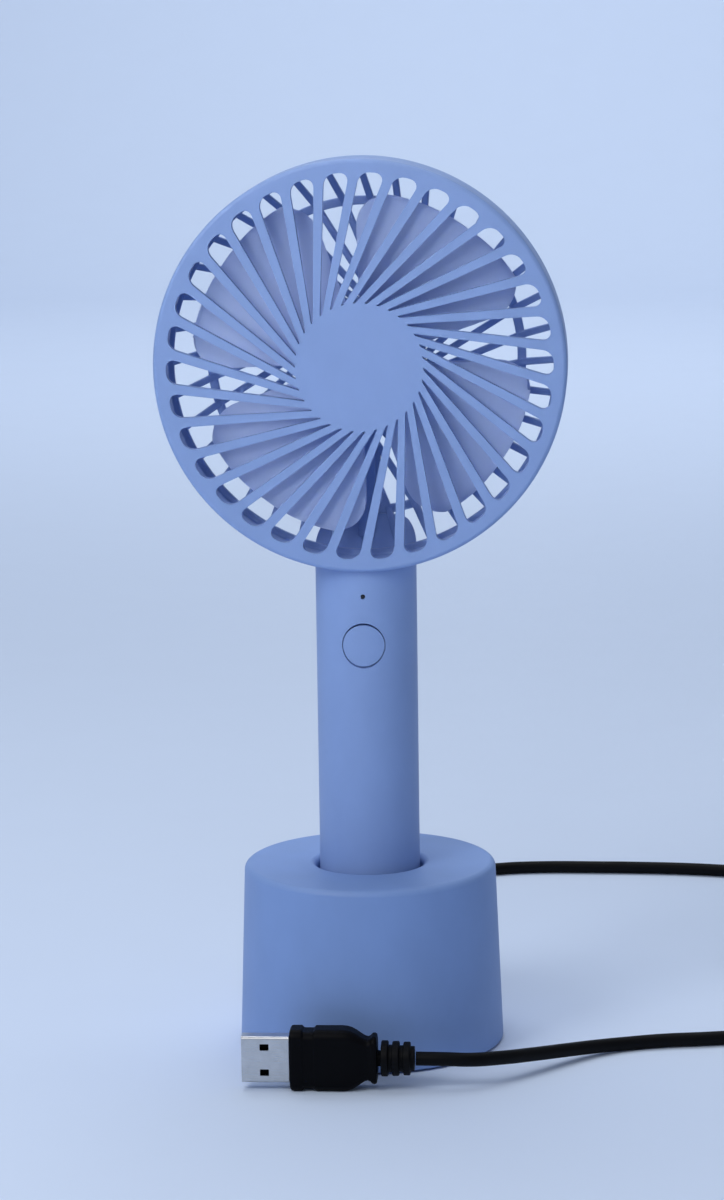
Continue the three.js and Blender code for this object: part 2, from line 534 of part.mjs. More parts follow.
// A nickel strip from the cell's upper end to the back of the board.
function upperTab() {
  const low = cell.bottomZ + cell.length + gap;
  const t = tab.thickness;
  const frontY = board.frontY + board.thickness + gap;
  return sidePlate([
    [frontY, low], [3.5, low], [3.5, low + t], [frontY + t, low + t], [frontY + t, board.bottomZ + 6],
    [frontY, board.bottomZ + 6],
  ], -7, -7 + tab.width);
}

add('handle_front_shell', handleShell(true), lavender);
add('handle_rear_shell', handleShell(false), lavender);
add('handle_end_cap', endCap(), lavender);
for (const [side, name] of [[-1, 'left'], [1, 'right']]) {
  add(`charge_pad_${name}`, rod(chargePad.radius, handle.bottomZ, handle.bottomZ + chargePad.thickness,
    small, 'z').translate([side * chargePad.spacing / 2, 0, 0]), gold);
}
for (const [side, name] of [[-1, 'front'], [1, 'rear']]) {
  add(`cap_screw_${name}`, screw(capScrew)
    .translate([0, side * capCircle, handle.bottomZ + capScrew.headHeight]), steel);
}
add('light_pipe', lightPipeSolid(), clearPlastic);
add('control_board', box(-board.width / 2, board.width / 2, board.frontY, board.frontY + board.thickness,
  board.bottomZ, board.topZ), circuitGreen);
add('tact_switch', tactSwitchBody(), blackPlastic);
add('switch_plunger', rod(tactSwitch.plungerRadius, plungerFrontY, plungerSeatY - button.travel - 0.2, small)
  .translate([0, 0, button.z]), whitePlastic);
add('button_cap', buttonCap(), lavender);
add('battery_cell', turned([
  [0, cell.bottomZ], [cell.radius, cell.bottomZ], [cell.radius, cell.bottomZ + cell.length - 1],
  [3.2, cell.bottomZ + cell.length - 1], [3.2, cell.bottomZ + cell.length],
  [0, cell.bottomZ + cell.length],
], round, 'z'), cellWrap);
add('battery_tab_lower', lowerTab(), steel);
add('battery_tab_upper', upperTab(), steel);

// ---------------------------------------------------------------- dock
const plateRadius = dockOuter(plateTopZ) - dock.wall - gap;
const deckZ = dock.height - well.deck;
const atAngle = (piece, radius, degrees) =>
  piece.translate([radius, 0, 0]).rotate([0, 0, degrees]);

function dockShell() {
  const [outerTop, wellOuter] = [dockOuter(dock.height), wellRadius + well.wall];
  const inner = (z) => dockOuter(z) - dock.wall;
  const body = turned([
    [0, wellBottomZ], [wellOuter, wellBottomZ], [wellOuter, deckZ], [inner(deckZ), deckZ],
    [inner(dock.liftZ), dock.liftZ], [dock.bottomRadius, dock.liftZ],
    ...arc(outerTop - dock.topEdge, dock.height - dock.topEdge, dock.topEdge, 0, 90, 3),
    ...arc(wellRadius + well.lip, dock.height - well.lip, well.lip, 90, 180, 3),
    [wellRadius, wellFloorZ], [0, wellFloorZ],
  ], fine, 'z');
  const posts = [0, 180].map((degrees) => atAngle(join(
    rod(boss.footRadius, plateTopZ + gap, boss.shoulderZ, small, 'z'),
    rod(boss.radius, plateTopZ + gap, deckZ + 0.5, small, 'z')), dockScrew.circle, degrees));
  const screwBore = rod(dockScrew.radius + gap, 0, plateZ + dockScrew.headHeight + dockScrew.length + 1,
    small, 'z');
  const screwBores = [0, 180].map((degrees) => atAngle(screwBore, dockScrew.circle, degrees));
  const pinHoles = [-1, 1].map((side) => rod(pogo.pinRadius + 0.4, 0, 30, small, 'z')
    .translate([side * chargePad.spacing / 2, 0, 0]));
  const plugRoom = box(-microBody.width / 2 - gap, microBody.width / 2 + gap, wellRadius + well.wall + 2, 60,
    socketZ - microBody.height / 2 - gap, socketZ + microBody.height / 2 + gap);
  return cut(join(body, ...posts), ...screwBores, ...pinHoles, plugRoom);
}

function basePlate() {
  const disc = rod(plateRadius, plateZ, plateTopZ, fine, 'z');
  const posts = [-1, 1].map((side) => rod(2, plateTopZ - 0.5, dockBoard.z - gap, small, 'z')
    .translate([side * 7, 5, 0]));
  const footRecess = rod(foot.radius + gap, 0, foot.thickness + gap, small, 'z');
  const seat = join(rod(dockScrew.headRadius + gap, 0, plateZ + gap + dockScrew.headHeight + gap, small, 'z'),
    rod(dockScrew.radius + gap, 0, 10, small, 'z'));
  return cut(join(disc, ...posts),
    ...repeat(foot.count, (i) => atAngle(footRecess, foot.circle, 90 + (360 * i) / foot.count)),
    ...[0, 180].map((degrees) => atAngle(seat, dockScrew.circle, degrees)));
}

function dockBoardSolid() {
  const half = dockBoard.width / 2;
  return cut(slab(outline([
    [-half, dockBoard.frontY], [half, dockBoard.frontY], [half, dockBoard.backY], [-half, dockBoard.backY],
  ]), dockBoard.z, boardTopZ));
}

function usbSocket() {
  const [w, h] = [socket.width / 2, socket.height / 2];
  const backY = socketMouthY - socket.depth;
  const t = socket.wall;
  const shell = cut(box(-w, w, backY, socketMouthY, -h, h), box(-w + t, w - t, backY + 0.6, 60, -h + t, h - t));
  const tongue = box(-1.8, 1.8, backY + 0.3, socketMouthY - 0.8, -0.1, 0.3);
  return join(shell, tongue).translate([0, 0, socketZ]);
}

function pogoBarrel() {
  const bottomZ = boardTopZ + gap;
  const inner = pogo.barrelRadius - pogo.barrelWall;
  return turned([
    [0, bottomZ], [pogo.barrelRadius, bottomZ], [pogo.barrelRadius, pogo.topZ],
    [pogo.pinRadius + 0.1, pogo.topZ], [pogo.pinRadius + 0.1, pogo.topZ - 0.6], [inner, pogo.topZ - 0.6],
    [inner, bottomZ + 0.4], [0, bottomZ + 0.4],
  ], small, 'z');
}

const springLowZ = boardTopZ + gap + 0.45;
const springHighZ = pogo.topZ - 2.4;
function pogoPin() {
  const flangeRadius = pogo.pinRadius + pogo.flange;
  const tipZ = wellFloorZ;
  return turned([
    [0, springHighZ + 0.05], [flangeRadius, springHighZ + 0.05], [flangeRadius, springHighZ + 0.65],
    [pogo.pinRadius, springHighZ + 0.65], [pogo.pinRadius, tipZ - 0.4], [pogo.pinRadius * 0.6, tipZ - 0.1],
    [0, tipZ],
  ], small, 'z');
}

class Helix extends THREE.Curve {
  constructor(radius, turns, low, high) {
    super();
    Object.assign(this, { radius, turns, low, high });
  }

  getPoint(t) {
    const a = 2 * Math.PI * this.turns * t;
    return new THREE.Vector3(this.radius * Math.cos(a), this.radius * Math.sin(a),
      THREE.MathUtils.lerp(this.low, this.high, t));
  }
}
const pogoSpringSolid = () => tube(
  new Helix(pogo.barrelRadius - pogo.barrelWall - pogoSpring.wire - 0.1, pogoSpring.turns,
    springLowZ + pogoSpring.wire, springHighZ - pogoSpring.wire), pogoSpring.wire, 5, 8 * pogoSpring.turns);

function ballastWeight() {
  const inner = wellRadius + well.wall + gap;
  const ringSolid = hoop(inner, inner + ballast.width, boss.shoulderZ + gap,
    boss.shoulderZ + gap + ballast.height, fine, 'z');
  const room = rod(boss.radius + gap, 0, 40, small, 'z');
  return cut(ringSolid, ...[0, 180].map((degrees) => atAngle(room, dockScrew.circle, degrees)));
}

add('dock_shell', dockShell(), lavender);
add('dock_base_plate', basePlate(), lavender);
add('dock_ballast', ballastWeight(), ironGrey);
add('dock_board', dockBoardSolid(), circuitGreen);
add('usb_socket', usbSocket(), steel);
for (const [side, name] of [[-1, 'left'], [1, 'right']]) {
  const place = [side * chargePad.spacing / 2, 0, 0];
  add(`pogo_barrel_${name}`, pogoBarrel().translate(place), brass);
  add(`pogo_spring_${name}`, pogoSpringSolid().translate(place), steel);
  add(`pogo_pin_${name}`, pogoPin().translate(place), gold);
}
repeat(foot.count, (i) => add(`rubber_foot_${i + 1}`,
  atAngle(rod(foot.radius, 0, foot.thickness, small, 'z'), foot.circle, 90 + (360 * i) / foot.count),
  blackRubber));
for (const [degrees, name] of [[180, 'left'], [0, 'right']]) {
  add(`dock_screw_${name}`, atAngle(screw(dockScrew)
    .translate([0, 0, plateZ + dockScrew.headHeight + gap]), dockScrew.circle, degrees), steel);
}

// ---------------------------------------------------------------- charging cable
const ribbed = ({ length, startRadius, endRadius, ribs, ribDepth }) => {
  const profile = [[0, 0]];
  for (let i = 0; i < ribs; i += 1) {
    const [from, to] = [(i * length) / ribs, ((i + 0.62) * length) / ribs];
    const radius = THREE.MathUtils.lerp(startRadius, endRadius, i / ribs);
    profile.push([radius, from], [radius, to], [radius - ribDepth, to], [radius - ribDepth, from + length / ribs]);
  }
  return [...profile, [0, length]];
};

const microBodyY = socketMouthY + gap + 0.2;
const microReliefY = microBodyY + microBody.length + gap;
const alongY = (shape, low, high) => headPlate(shape, low, high, 4);

function microShellSolid() {
  const tip = microBodyY - gap - microShell.length;
  const { width, height, wall } = microShell;
  return cut(alongY(roundedBox(width, height, 0.4), tip, microBodyY - gap),
    alongY(roundedBox(width - 2 * wall, height - 2 * wall, 0.25), tip - 1, microBodyY - gap - 0.6));
}

function microBodySolid() {
  const { width, height, length, corner } = microBody;
  const whole = alongY(roundedBox(width, height, corner), microBodyY, microBodyY + length);
  const slope = (side) => sidePlate([
    [microBodyY + length * 0.6, side * height / 2 + side], [microBodyY + length + 1, side * height / 2 + side],
    [microBodyY + length + 1, side * (relief.startRadius - 0.4)],
  ], -width, width);
  return cut(whole, slope(-1), slope(1));
}

add('micro_plug_shell', microShellSolid().translate([0, 0, socketZ]), steel);
add('micro_plug_body', microBodySolid().translate([0, 0, socketZ]), blackPlastic);
add('micro_plug_relief', turned(ribbed(relief), small)
  .translate([0, microReliefY, socketZ]), blackRubber);

function cordTube(points, steps) {
  return tube(through(points), cord.diameter / 2, 8, steps);
}
add('cord_rear', cordTube(rearRun, 44), blackPlastic);
add('cord_coil', cut(hoop(coilRing.inner, coilRing.outer, coilRing.bottomZ,
  coilRing.bottomZ + coilRing.height, fine, 'z').translate([coilRing.x, coilRing.y, 0])), blackPlastic);
add('cord_front', cordTube(frontRun, 36), blackPlastic);

function coilTie() {
  const middle = (coilRing.inner + coilRing.outer) / 2;
  const half = (coilRing.outer - coilRing.inner) / 2 + 2 * gap;
  const [low, high] = [coilRing.bottomZ - 0.1, coilRing.bottomZ + coilRing.height + gap];
  const t = tie.thickness;
  const w = tie.width / 2;
  return cut(box(-middle - half - t, -middle + half + t, -w, w, low - t, high + t),
    box(-middle - half, -middle + half, -w - 1, w + 1, low, high))
    .translate([coilRing.x, coilRing.y, 0]);
}
add('coil_tie', coilTie(), blackRubber);

function usbShellSolid() {
  const { width, height, wall, length, window, windowZ } = usbShell;
  const [w, h] = [width / 2, height / 2];
  const windows = [-1, 1].map((side) => box(-length * 0.6, -length * 0.6 + window, -h - 1, h + 1,
    side * windowZ - window * 0.42, side * windowZ + window * 0.42));
  return cut(box(-length, 0, -h, h, -w, w), box(-length - 1, -0.6, -h + wall, h - wall, -w + wall, w - wall),
    ...windows);
}

// The body's edge steps in near the front, then curves to a waist and a flared end.
function usbBodySolid() {
  const { height, depth, length, neck, neckRadius } = usbPlug;
  const h = height / 2;
  const edge = [
    [0, h], [3, h], [3, h - 0.4], [6.2, h - 0.4], [6.2, h], [length - 8, h], [length - 5.6, h - 0.8],
    [length - 2.8, h - 2.7], [length - 1.5, h - 1.8], [length, h - 1.8], [length, neckRadius],
    [length + neck, neckRadius],
  ];
  const side = [...edge, ...edge.map(([x, z]) => [x, -z]).reverse()];
  const whole = headPlate(outline(side), -depth / 2, depth / 2);
  const neckOnly = [-1, 1].map((back) => box(length, length + 2, back > 0 ? neckRadius : -depth,
    back > 0 ? depth : -neckRadius, -h, h));
  return cut(whole, ...neckOnly);
}

const usbPlace = [usbPlug.x, usbPlug.y, plugZ];
const usbShellEnd = usbPlug.x - gap;
add('usb_plug_shell', usbShellSolid().translate([usbShellEnd, usbPlug.y, plugZ]), steel);
const tongueBackY = usbShell.height / 2 - usbShell.wall - gap;
add('usb_plug_tongue', box(-usbShell.length + 0.6, -0.9, tongueBackY - 1.5, tongueBackY,
  -usbShell.width / 2 + usbShell.wall + gap, usbShell.width / 2 - usbShell.wall - gap)
  .translate([usbShellEnd, usbPlug.y, plugZ]), blackPlastic);
add('usb_plug_body', usbBodySolid().translate(usbPlace), blackPlastic);
add('usb_plug_relief', turned(ribbed(usbRelief), small, 'x')
  .translate([usbPlug.x + usbPlug.length + usbPlug.neck + gap, usbPlug.y, plugZ]), blackRubber);

export default model;
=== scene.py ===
"""Looks of a hand-held rechargeable fan that stands in its charging dock, with its charging cable.

The forms are built in millimetres and each finished piece is scaled to metres once. The fan faces -Y.
The head's pieces are built about the head's own centre, and then lifted to its height.
"""

import logging
import math
from dataclasses import dataclass
from enum import Enum
from typing import Callable, Iterable, Sequence

import bmesh
import bpy
from mathutils import Matrix, Vector


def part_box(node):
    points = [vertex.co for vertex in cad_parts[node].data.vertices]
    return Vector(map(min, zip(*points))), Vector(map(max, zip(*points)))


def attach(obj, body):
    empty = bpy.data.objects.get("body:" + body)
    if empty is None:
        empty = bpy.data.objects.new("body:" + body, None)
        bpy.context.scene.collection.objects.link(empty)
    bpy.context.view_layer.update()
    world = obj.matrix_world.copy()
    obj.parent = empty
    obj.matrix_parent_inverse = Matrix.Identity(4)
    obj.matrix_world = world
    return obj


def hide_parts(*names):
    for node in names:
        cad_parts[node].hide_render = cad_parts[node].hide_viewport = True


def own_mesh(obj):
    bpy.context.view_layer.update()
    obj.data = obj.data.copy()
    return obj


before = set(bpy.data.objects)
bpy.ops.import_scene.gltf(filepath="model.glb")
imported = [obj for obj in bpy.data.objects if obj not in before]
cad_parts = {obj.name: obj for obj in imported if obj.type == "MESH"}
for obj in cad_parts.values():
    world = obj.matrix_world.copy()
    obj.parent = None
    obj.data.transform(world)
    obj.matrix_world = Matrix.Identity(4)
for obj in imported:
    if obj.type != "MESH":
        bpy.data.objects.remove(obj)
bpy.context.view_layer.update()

LOG = logging.getLogger("fan")
MILLIMETRE = 0.001
FULL_TURN = 2 * math.pi
MERGE = 1e-4
FAR = 200.0
SIDES = (-1, 1)
PAD_X = 5

Point = tuple[float, float]
Corner = tuple[float, float, float]
Colour = tuple[float, float, float]


# ---------------------------------------------------------------- places
def extent(node: str) -> tuple[Vector, Vector]:
    """Gives the room that a node of the frame takes.

    Args:
        node: The node's name.

    Returns:
        Its lowest and its highest corner, in millimetres.
    """
    low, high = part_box(node)
    return low / MILLIMETRE, high / MILLIMETRE


def middle_of(node: str) -> Vector:
    """Gives the middle of a node's room, in millimetres."""
    low, high = extent(node)
    return (low + high) / 2


@dataclass(frozen=True)
class Layout:
    """The places and main sizes that every sub-assembly shares, in millimetres."""

    head_z: float
    head_radius: float
    face_y: float
    ring_back_y: float
    rim_back_y: float
    cage_back_y: float
    neck_low: float
    handle_radius: float
    handle_low: float
    handle_top: float
    shell_low: float
    cap_top: float
    dock_low: float
    dock_top: float
    dock_foot_radius: float

    @classmethod
    def read(cls) -> "Layout":
        """Reads the places from the frame."""
        grille_low, grille_high = extent("front_grille")
        housing_low, _ = extent("rear_housing")
        rear_high = extent("rear_grille")[1]
        shell_low, shell_high = extent("handle_front_shell")
        cap_low = extent("handle_end_cap")[0]
        dock_low, dock_high = extent("dock_shell")
        head_z = (grille_low.z + grille_high.z) / 2
        lip, cage_depth = 2.2, 12.2
        neck_spigot, cap_gap = 4.4, 0.3
        return cls(
            head_z=head_z,
            head_radius=(grille_high.z - grille_low.z) / 2,
            face_y=grille_low.y,
            ring_back_y=grille_high.y - lip,
            rim_back_y=rear_high.y - cage_depth,
            cage_back_y=rear_high.y,
            neck_low=housing_low.z + neck_spigot - head_z,
            handle_radius=-shell_low.y,
            handle_low=cap_low.z,
            handle_top=shell_high.z,
            shell_low=shell_low.z,
            cap_top=shell_low.z - cap_gap,
            dock_low=dock_low.z,
            dock_top=dock_high.z,
            dock_foot_radius=(dock_high.y - dock_low.y) / 2,
        )


# ---------------------------------------------------------------- forms
class Axis(Enum):
    """The axis that a turned or extruded form lies along, as the rows that take its plan there."""

    X = ((0, 0, 1), (1, 0, 0), (0, 1, 0))
    Y = ((1, 0, 0), (0, 0, 1), (0, 1, 0))
    Z = ((1, 0, 0), (0, 1, 0), (0, 0, 1))

    def matrix(self) -> Matrix:
        """Gives the matrix from a form's plan and height to this axis."""
        return Matrix(self.value).to_4x4()


class Combine(Enum):
    """How two solids are combined."""

    JOIN = "UNION"
    CUT = "DIFFERENCE"
    KEEP = "INTERSECT"


def rounded(corners: Sequence[Corner], closed: bool = True, steps: int = 5) -> list[Point]:
    """Rounds the corners of an outline with arcs.

    Args:
        corners: The place and the rounding radius of each corner.
        closed: Whether the last corner leads back to the first.
        steps: The number of chords in each arc.

    Returns:
        The outline's points.
    """
    points: list[Point] = []
    corners = [corner for index, corner in enumerate(corners) if corner[:2] != corners[index - 1][:2]]
    last = len(corners) - 1
    for index, (x, y, radius) in enumerate(corners):
        if radius <= 0 or (not closed and index in (0, last)):
            points.append((x, y))
            continue
        here = Vector((x, y))
        back = Vector(corners[index - 1][:2]) - here
        onward = Vector(corners[(index + 1) % len(corners)][:2]) - here
        half = back.angle(onward) / 2
        reach = min(radius / math.tan(half), 0.49 * back.length, 0.49 * onward.length)
        back.normalize()
        onward.normalize()
        centre = here + (back + onward).normalized() * (reach / math.cos(half))
        start, end = here + back * reach - centre, here + onward * reach - centre
        for step in range(steps + 1):
            spoke = start.lerp(end, step / steps).normalized() * start.length
            points.append(tuple(centre + spoke))
    return points


def tidied(form: bmesh.types.BMesh) -> bmesh.types.BMesh:
    """Merges doubled points and turns every face outwards."""
    bmesh.ops.remove_doubles(form, verts=form.verts[:], dist=MERGE)
    bmesh.ops.recalc_face_normals(form, faces=form.faces[:])
    return form


def turned(profile: Sequence[Point], axis: Axis = Axis.Y, steps: int = 96) -> bmesh.types.BMesh:
    """Spins a profile round an axis.

    Args:
        profile: Radius and height of each point. It starts and ends on the axis, or closes on itself.
        axis: The axis it spins round.
        steps: The number of sides.

    Returns:
        The closed form.
    """
    form = bmesh.new()
    points = [form.verts.new((radius, 0, height)) for radius, height in profile]
    onward = points[1:] if profile[0][0] == 0 else points[1:] + points[:1]
    edges = [form.edges.new(pair) for pair in zip(points, onward)]
    bmesh.ops.spin(form, geom=points + edges, cent=(0, 0, 0), axis=(0, 0, 1), dvec=(0, 0, 0),
                   angle=FULL_TURN, steps=steps, use_merge=True, use_duplicate=False)
    bmesh.ops.transform(form, matrix=axis.matrix(), verts=form.verts[:])
    return tidied(form)


def rod(radius: float, low: float, high: float, axis: Axis = Axis.Z, steps: int = 32,
        soft: Point = (0, 0)) -> bmesh.types.BMesh:
    """Makes a cylinder whose edges can be rounded.

    Args:
        radius: Its radius.
        low: Where it starts along its axis.
        high: Where it ends.
        axis: The axis it lies along.
        steps: The number of sides.
        soft: The rounding of the edge at its start and of the edge at its end.

    Returns:
        The closed form.
    """
    outline = [(0, low, 0), (radius, low, soft[0]), (radius, high, soft[1]), (0, high, 0)]
    return turned(rounded(outline, closed=False), axis, steps)


def stepped(first: float, low: float, step: float, second: float, high: float,
            axis: Axis = Axis.Z) -> bmesh.types.BMesh:
    """Makes a rod of two radii.

    Args:
        first: The radius from low to the step.
        low: Where it starts along its axis.
        step: Where the radius changes.
        second: The radius from the step to high.
        high: Where it ends.
        axis: The axis it lies along.

    Returns:
        The closed form.
    """
    profile = [(0, low), (first, low), (first, step), (second, step), (second, high), (0, high)]
    return turned(profile, axis, 40)


def collar(radii: Point, low: float, high: float, soft: Sequence[float], axis: Axis = Axis.Y,
           steps: int = 96) -> bmesh.types.BMesh:
    """Makes a ring with rounded edges.

    Args:
        radii: Its inner and its outer radius.
        low: Where it starts along its axis.
        high: Where it ends.
        soft: The rounding of its edges: inner low, outer low, outer high, inner high.
        axis: The axis it lies along.
        steps: The number of sides.

    Returns:
        The closed form.
    """
    inner, outer = radii
    places = [(inner, low), (outer, low), (outer, high), (inner, high)]
    return turned(rounded([(*place, corner) for place, corner in zip(places, soft)]), axis, steps)


def prism(outline: Sequence[Point], low: float, high: float, axis: Axis = Axis.Y) -> bmesh.types.BMesh:
    """Extrudes an outline along an axis, from low to high."""
    form = bmesh.new()
    face = form.faces.new([form.verts.new((u, v, low)) for u, v in outline])
    top = bmesh.ops.extrude_face_region(form, geom=[face], use_keep_orig=True)
    moved = [item for item in top["geom"] if isinstance(item, bmesh.types.BMVert)]
    bmesh.ops.translate(form, verts=moved, vec=(0, 0, high - low))
    bmesh.ops.transform(form, matrix=axis.matrix(), verts=form.verts[:])
    return tidied(form)


def loft(sections: Sequence[tuple[float, Sequence[Point]]], axis: Axis = Axis.X) -> bmesh.types.BMesh:
    """Bridges outlines of equal count along an axis and closes both ends.

    Args:
        sections: The height and the outline of each section, in order.
        axis: The axis the sections follow.

    Returns:
        The closed form.
    """
    form = bmesh.new()
    rings = []
    for height, outline in sections:
        points = [form.verts.new((u, v, height)) for u, v in outline]
        rings.append([form.edges.new(pair) for pair in zip(points, points[1:] + points[:1])])
    for near, far in zip(rings, rings[1:]):
        bmesh.ops.bridge_loops(form, edges=near + far)
    bmesh.ops.holes_fill(form, edges=rings[0] + rings[-1], sides=0)
    bmesh.ops.transform(form, matrix=axis.matrix(), verts=form.verts[:])
    return tidied(form)


def bevelled(form: bmesh.types.BMesh, width: float, segments: int = 3,
             wanted: Callable[[bmesh.types.BMEdge], bool] = lambda edge: True) -> bmesh.types.BMesh:
    """Rounds the sharp edges of a form.

    Args:
        form: The form, which is changed.
        width: How far from the edge the rounding starts.
        segments: The chords in each rounding.
        wanted: Says which of the sharp edges are rounded.

    Returns:
        The same form.
    """
    sharp = math.radians(40)
    edges = [edge for edge in form.edges
             if edge.is_manifold and edge.calc_face_angle(0) > sharp and wanted(edge)]
    bmesh.ops.bevel(form, geom=edges, offset=width, offset_type="OFFSET", segments=segments, profile=0.5,
                    affect="EDGES", material=-1, clamp_overlap=True, loop_slide=True)
    return form


def block(low: Sequence[float], high: Sequence[float]) -> bmesh.types.BMesh:
    """Makes a rectangular block between two corners."""
    form = bmesh.new()
    bmesh.ops.create_cube(form, size=1)
    size, middle = Vector(high) - Vector(low), (Vector(high) + Vector(low)) / 2
    bmesh.ops.scale(form, vec=size, verts=form.verts[:])
    bmesh.ops.translate(form, vec=middle, verts=form.verts[:])
    return form


def rounded_box(half_width: float, half_height: float, corner: float, steps: int = 5) -> list[Point]:
    """Gives the outline of a rectangle with round corners, about its middle."""
    return rounded([(-half_width, -half_height, corner), (half_width, -half_height, corner),
                    (half_width, half_height, corner), (-half_width, half_height, corner)], steps=steps)


def linked(name: str, data: bpy.types.ID) -> bpy.types.Object:
    """Puts a mesh, curve, light or camera into the scene on an object of its own."""
    thing = bpy.data.objects.new(name, data)
    bpy.context.scene.collection.objects.link(thing)
    return thing


class Solid:
    """One solid on the bench, in millimetres, held in an object of its own."""

    def __init__(self, form: bmesh.types.BMesh) -> None:
        """Takes over a form."""
        mesh = bpy.data.meshes.new("blank")
        form.to_mesh(mesh)
        form.free()
        self.thing = linked("blank", mesh)

    def combine(self, how: Combine, others: Iterable["Solid"]) -> "Solid":
        """Combines this solid with others, which are used up.

        Args:
            how: Whether the others are joined, cut away or kept.
            others: The other solids.

        Returns:
            This solid.
        """
        others = list(others)
        for other in others:
            modifier = self.thing.modifiers.new(how.name, "BOOLEAN")
            modifier.operation = how.value
            modifier.solver = "MANIFOLD"
            modifier.object = other.thing
        graph = bpy.context.evaluated_depsgraph_get()
        result = bpy.data.meshes.new_from_object(self.thing.evaluated_get(graph))
        self.thing.modifiers.clear()
        self.thing.data = result
        for other in others:
            bpy.data.objects.remove(other.thing)
        return self

    def joined(self, *others: "Solid") -> "Solid":
        """Joins others to this solid."""
        return self.combine(Combine.JOIN, others)

    def without(self, *others: "Solid") -> "Solid":
        """Cuts others out of this solid."""
        return self.combine(Combine.CUT, others)

    def moved(self, x: float = 0, y: float = 0, z: float = 0) -> "Solid":
        """Moves this solid."""
        self.thing.data.transform(Matrix.Translation((x, y, z)))
        return self

    def turned(self, degrees: float, axis: Axis = Axis.Y) -> "Solid":
        """Turns this solid about an axis through the origin.

        Args:
            degrees: The angle. About Y it is counter-clockwise as seen from the front.
            axis: The axis.

        Returns:
            This solid.
        """
        angle = -degrees if axis is Axis.Y else degrees
        self.thing.data.transform(Matrix.Rotation(math.radians(angle), 4, axis.name))
        return self

    def copy(self) -> "Solid":
        """Makes another solid of the same shape."""
        form = bmesh.new()
        form.from_mesh(self.thing.data)
        return Solid(form)


def repeated(count: int, make: Callable[[int], Solid]) -> list[Solid]:
    """Makes a number of solids, each from its index."""
    return [make(index) for index in range(count)]


# ---------------------------------------------------------------- finishes
class Bench:
    """Adds and links the nodes of one material."""

    def __init__(self, name: str, base: Colour, roughness: float, metallic: float = 0.0) -> None:
        """Starts a material with its shader.

        Args:
            name: The material's name.
            base: The linear colour.
            roughness: The mean roughness.
            metallic: 1 for a metal.
        """
        self.material = bpy.data.materials.new(name)
        self.material.use_nodes = True
        self.nodes = self.material.node_tree.nodes
        self.nodes.clear()
        output = self.nodes.new("ShaderNodeOutputMaterial")
        self.shader = self.nodes.new("ShaderNodeBsdfPrincipled")
        self.link(self.shader.outputs["BSDF"], output.inputs["Surface"])
        self.shader.inputs["Base Color"].default_value = (*base, 1)
        self.shader.inputs["Roughness"].default_value = roughness
        self.shader.inputs["Metallic"].default_value = metallic
        self.place = self.nodes.new("ShaderNodeTexCoord").outputs["Object"]

    def link(self, source: bpy.types.NodeSocket, target: bpy.types.NodeSocket) -> None:
        """Links two sockets."""
        self.material.node_tree.links.new(source, target)

    def stretched(self, size: Sequence[float]) -> bpy.types.NodeSocket:
        """Scales the coordinates, so that a pattern repeats over the given size.

        Args:
            size: The pattern's size along each axis, in millimetres.

        Returns:
            The scaled coordinates.
        """
        mapping = self.nodes.new("ShaderNodeMapping")
        mapping.inputs["Scale"].default_value = [1 / (MILLIMETRE * length) for length in size]
        self.link(self.place, mapping.inputs["Vector"])
        return mapping.outputs["Vector"]

    def noise(self, size: Sequence[float], detail: float = 3.0) -> bpy.types.NodeSocket:
        """Adds cloudy noise of the given size and gives its factor."""
        noise = self.nodes.new("ShaderNodeTexNoise")
        noise.inputs["Scale"].default_value = 1.0
        noise.inputs["Detail"].default_value = detail
        self.link(self.stretched(size), noise.inputs["Vector"])
        return noise.outputs["Fac"]

    def bands(self, size: Sequence[float], direction: Axis, distortion: float = 0.0) -> bpy.types.NodeSocket:
        """Adds straight bands across a direction and gives their factor."""
        wave = self.nodes.new("ShaderNodeTexWave")
        wave.bands_direction = direction.name
        wave.inputs["Scale"].default_value = 1.0
        wave.inputs["Distortion"].default_value = distortion
        self.link(self.stretched(size), wave.inputs["Vector"])
        return wave.outputs["Fac"]

    def spread(self, source: bpy.types.NodeSocket, low: float, high: float,
               start: float = 0.3, end: float = 0.7) -> bpy.types.NodeSocket:
        """Maps a factor from start..end to low..high."""
        spread = self.nodes.new("ShaderNodeMapRange")
        for name, value in (("From Min", start), ("From Max", end), ("To Min", low), ("To Max", high)):
            spread.inputs[name].default_value = value
        self.link(source, spread.inputs["Value"])
        return spread.outputs["Result"]

    def tint(self, source: bpy.types.NodeSocket, low: Colour, high: Colour) -> None:
        """Lets a factor run the base colour from low to high."""
        mix = self.nodes.new("ShaderNodeMix")
        mix.data_type = "RGBA"
        mix.inputs["A"].default_value = (*low, 1)
        mix.inputs["B"].default_value = (*high, 1)
        self.link(source, mix.inputs["Factor"])
        self.link(mix.outputs["Result"], self.shader.inputs["Base Color"])

    def wear(self, source: bpy.types.NodeSocket, low: float, high: float) -> None:
        """Lets a factor run the roughness from low to high."""
        self.link(self.spread(source, low, high), self.shader.inputs["Roughness"])

    def bump(self, *heights: tuple[bpy.types.NodeSocket, float]) -> None:
        """Stacks bumps on the surface.

        Args:
            heights: Each height factor, and how high it stands in millimetres.
        """
        below = None
        for source, height in heights:
            bump = self.nodes.new("ShaderNodeBump")
            bump.inputs["Strength"].default_value = 1.0
            bump.inputs["Distance"].default_value = height * MILLIMETRE
            self.link(source, bump.inputs["Height"])
            if below is not None:
                self.link(below, bump.inputs["Normal"])
            below = bump.outputs["Normal"]
        self.link(below, self.shader.inputs["Normal"])


def shaded(colour: Colour, amount: float) -> Colour:
    """Makes a colour lighter, above 1, or darker, below 1."""
    return tuple(min(1.0, part * amount) for part in colour)


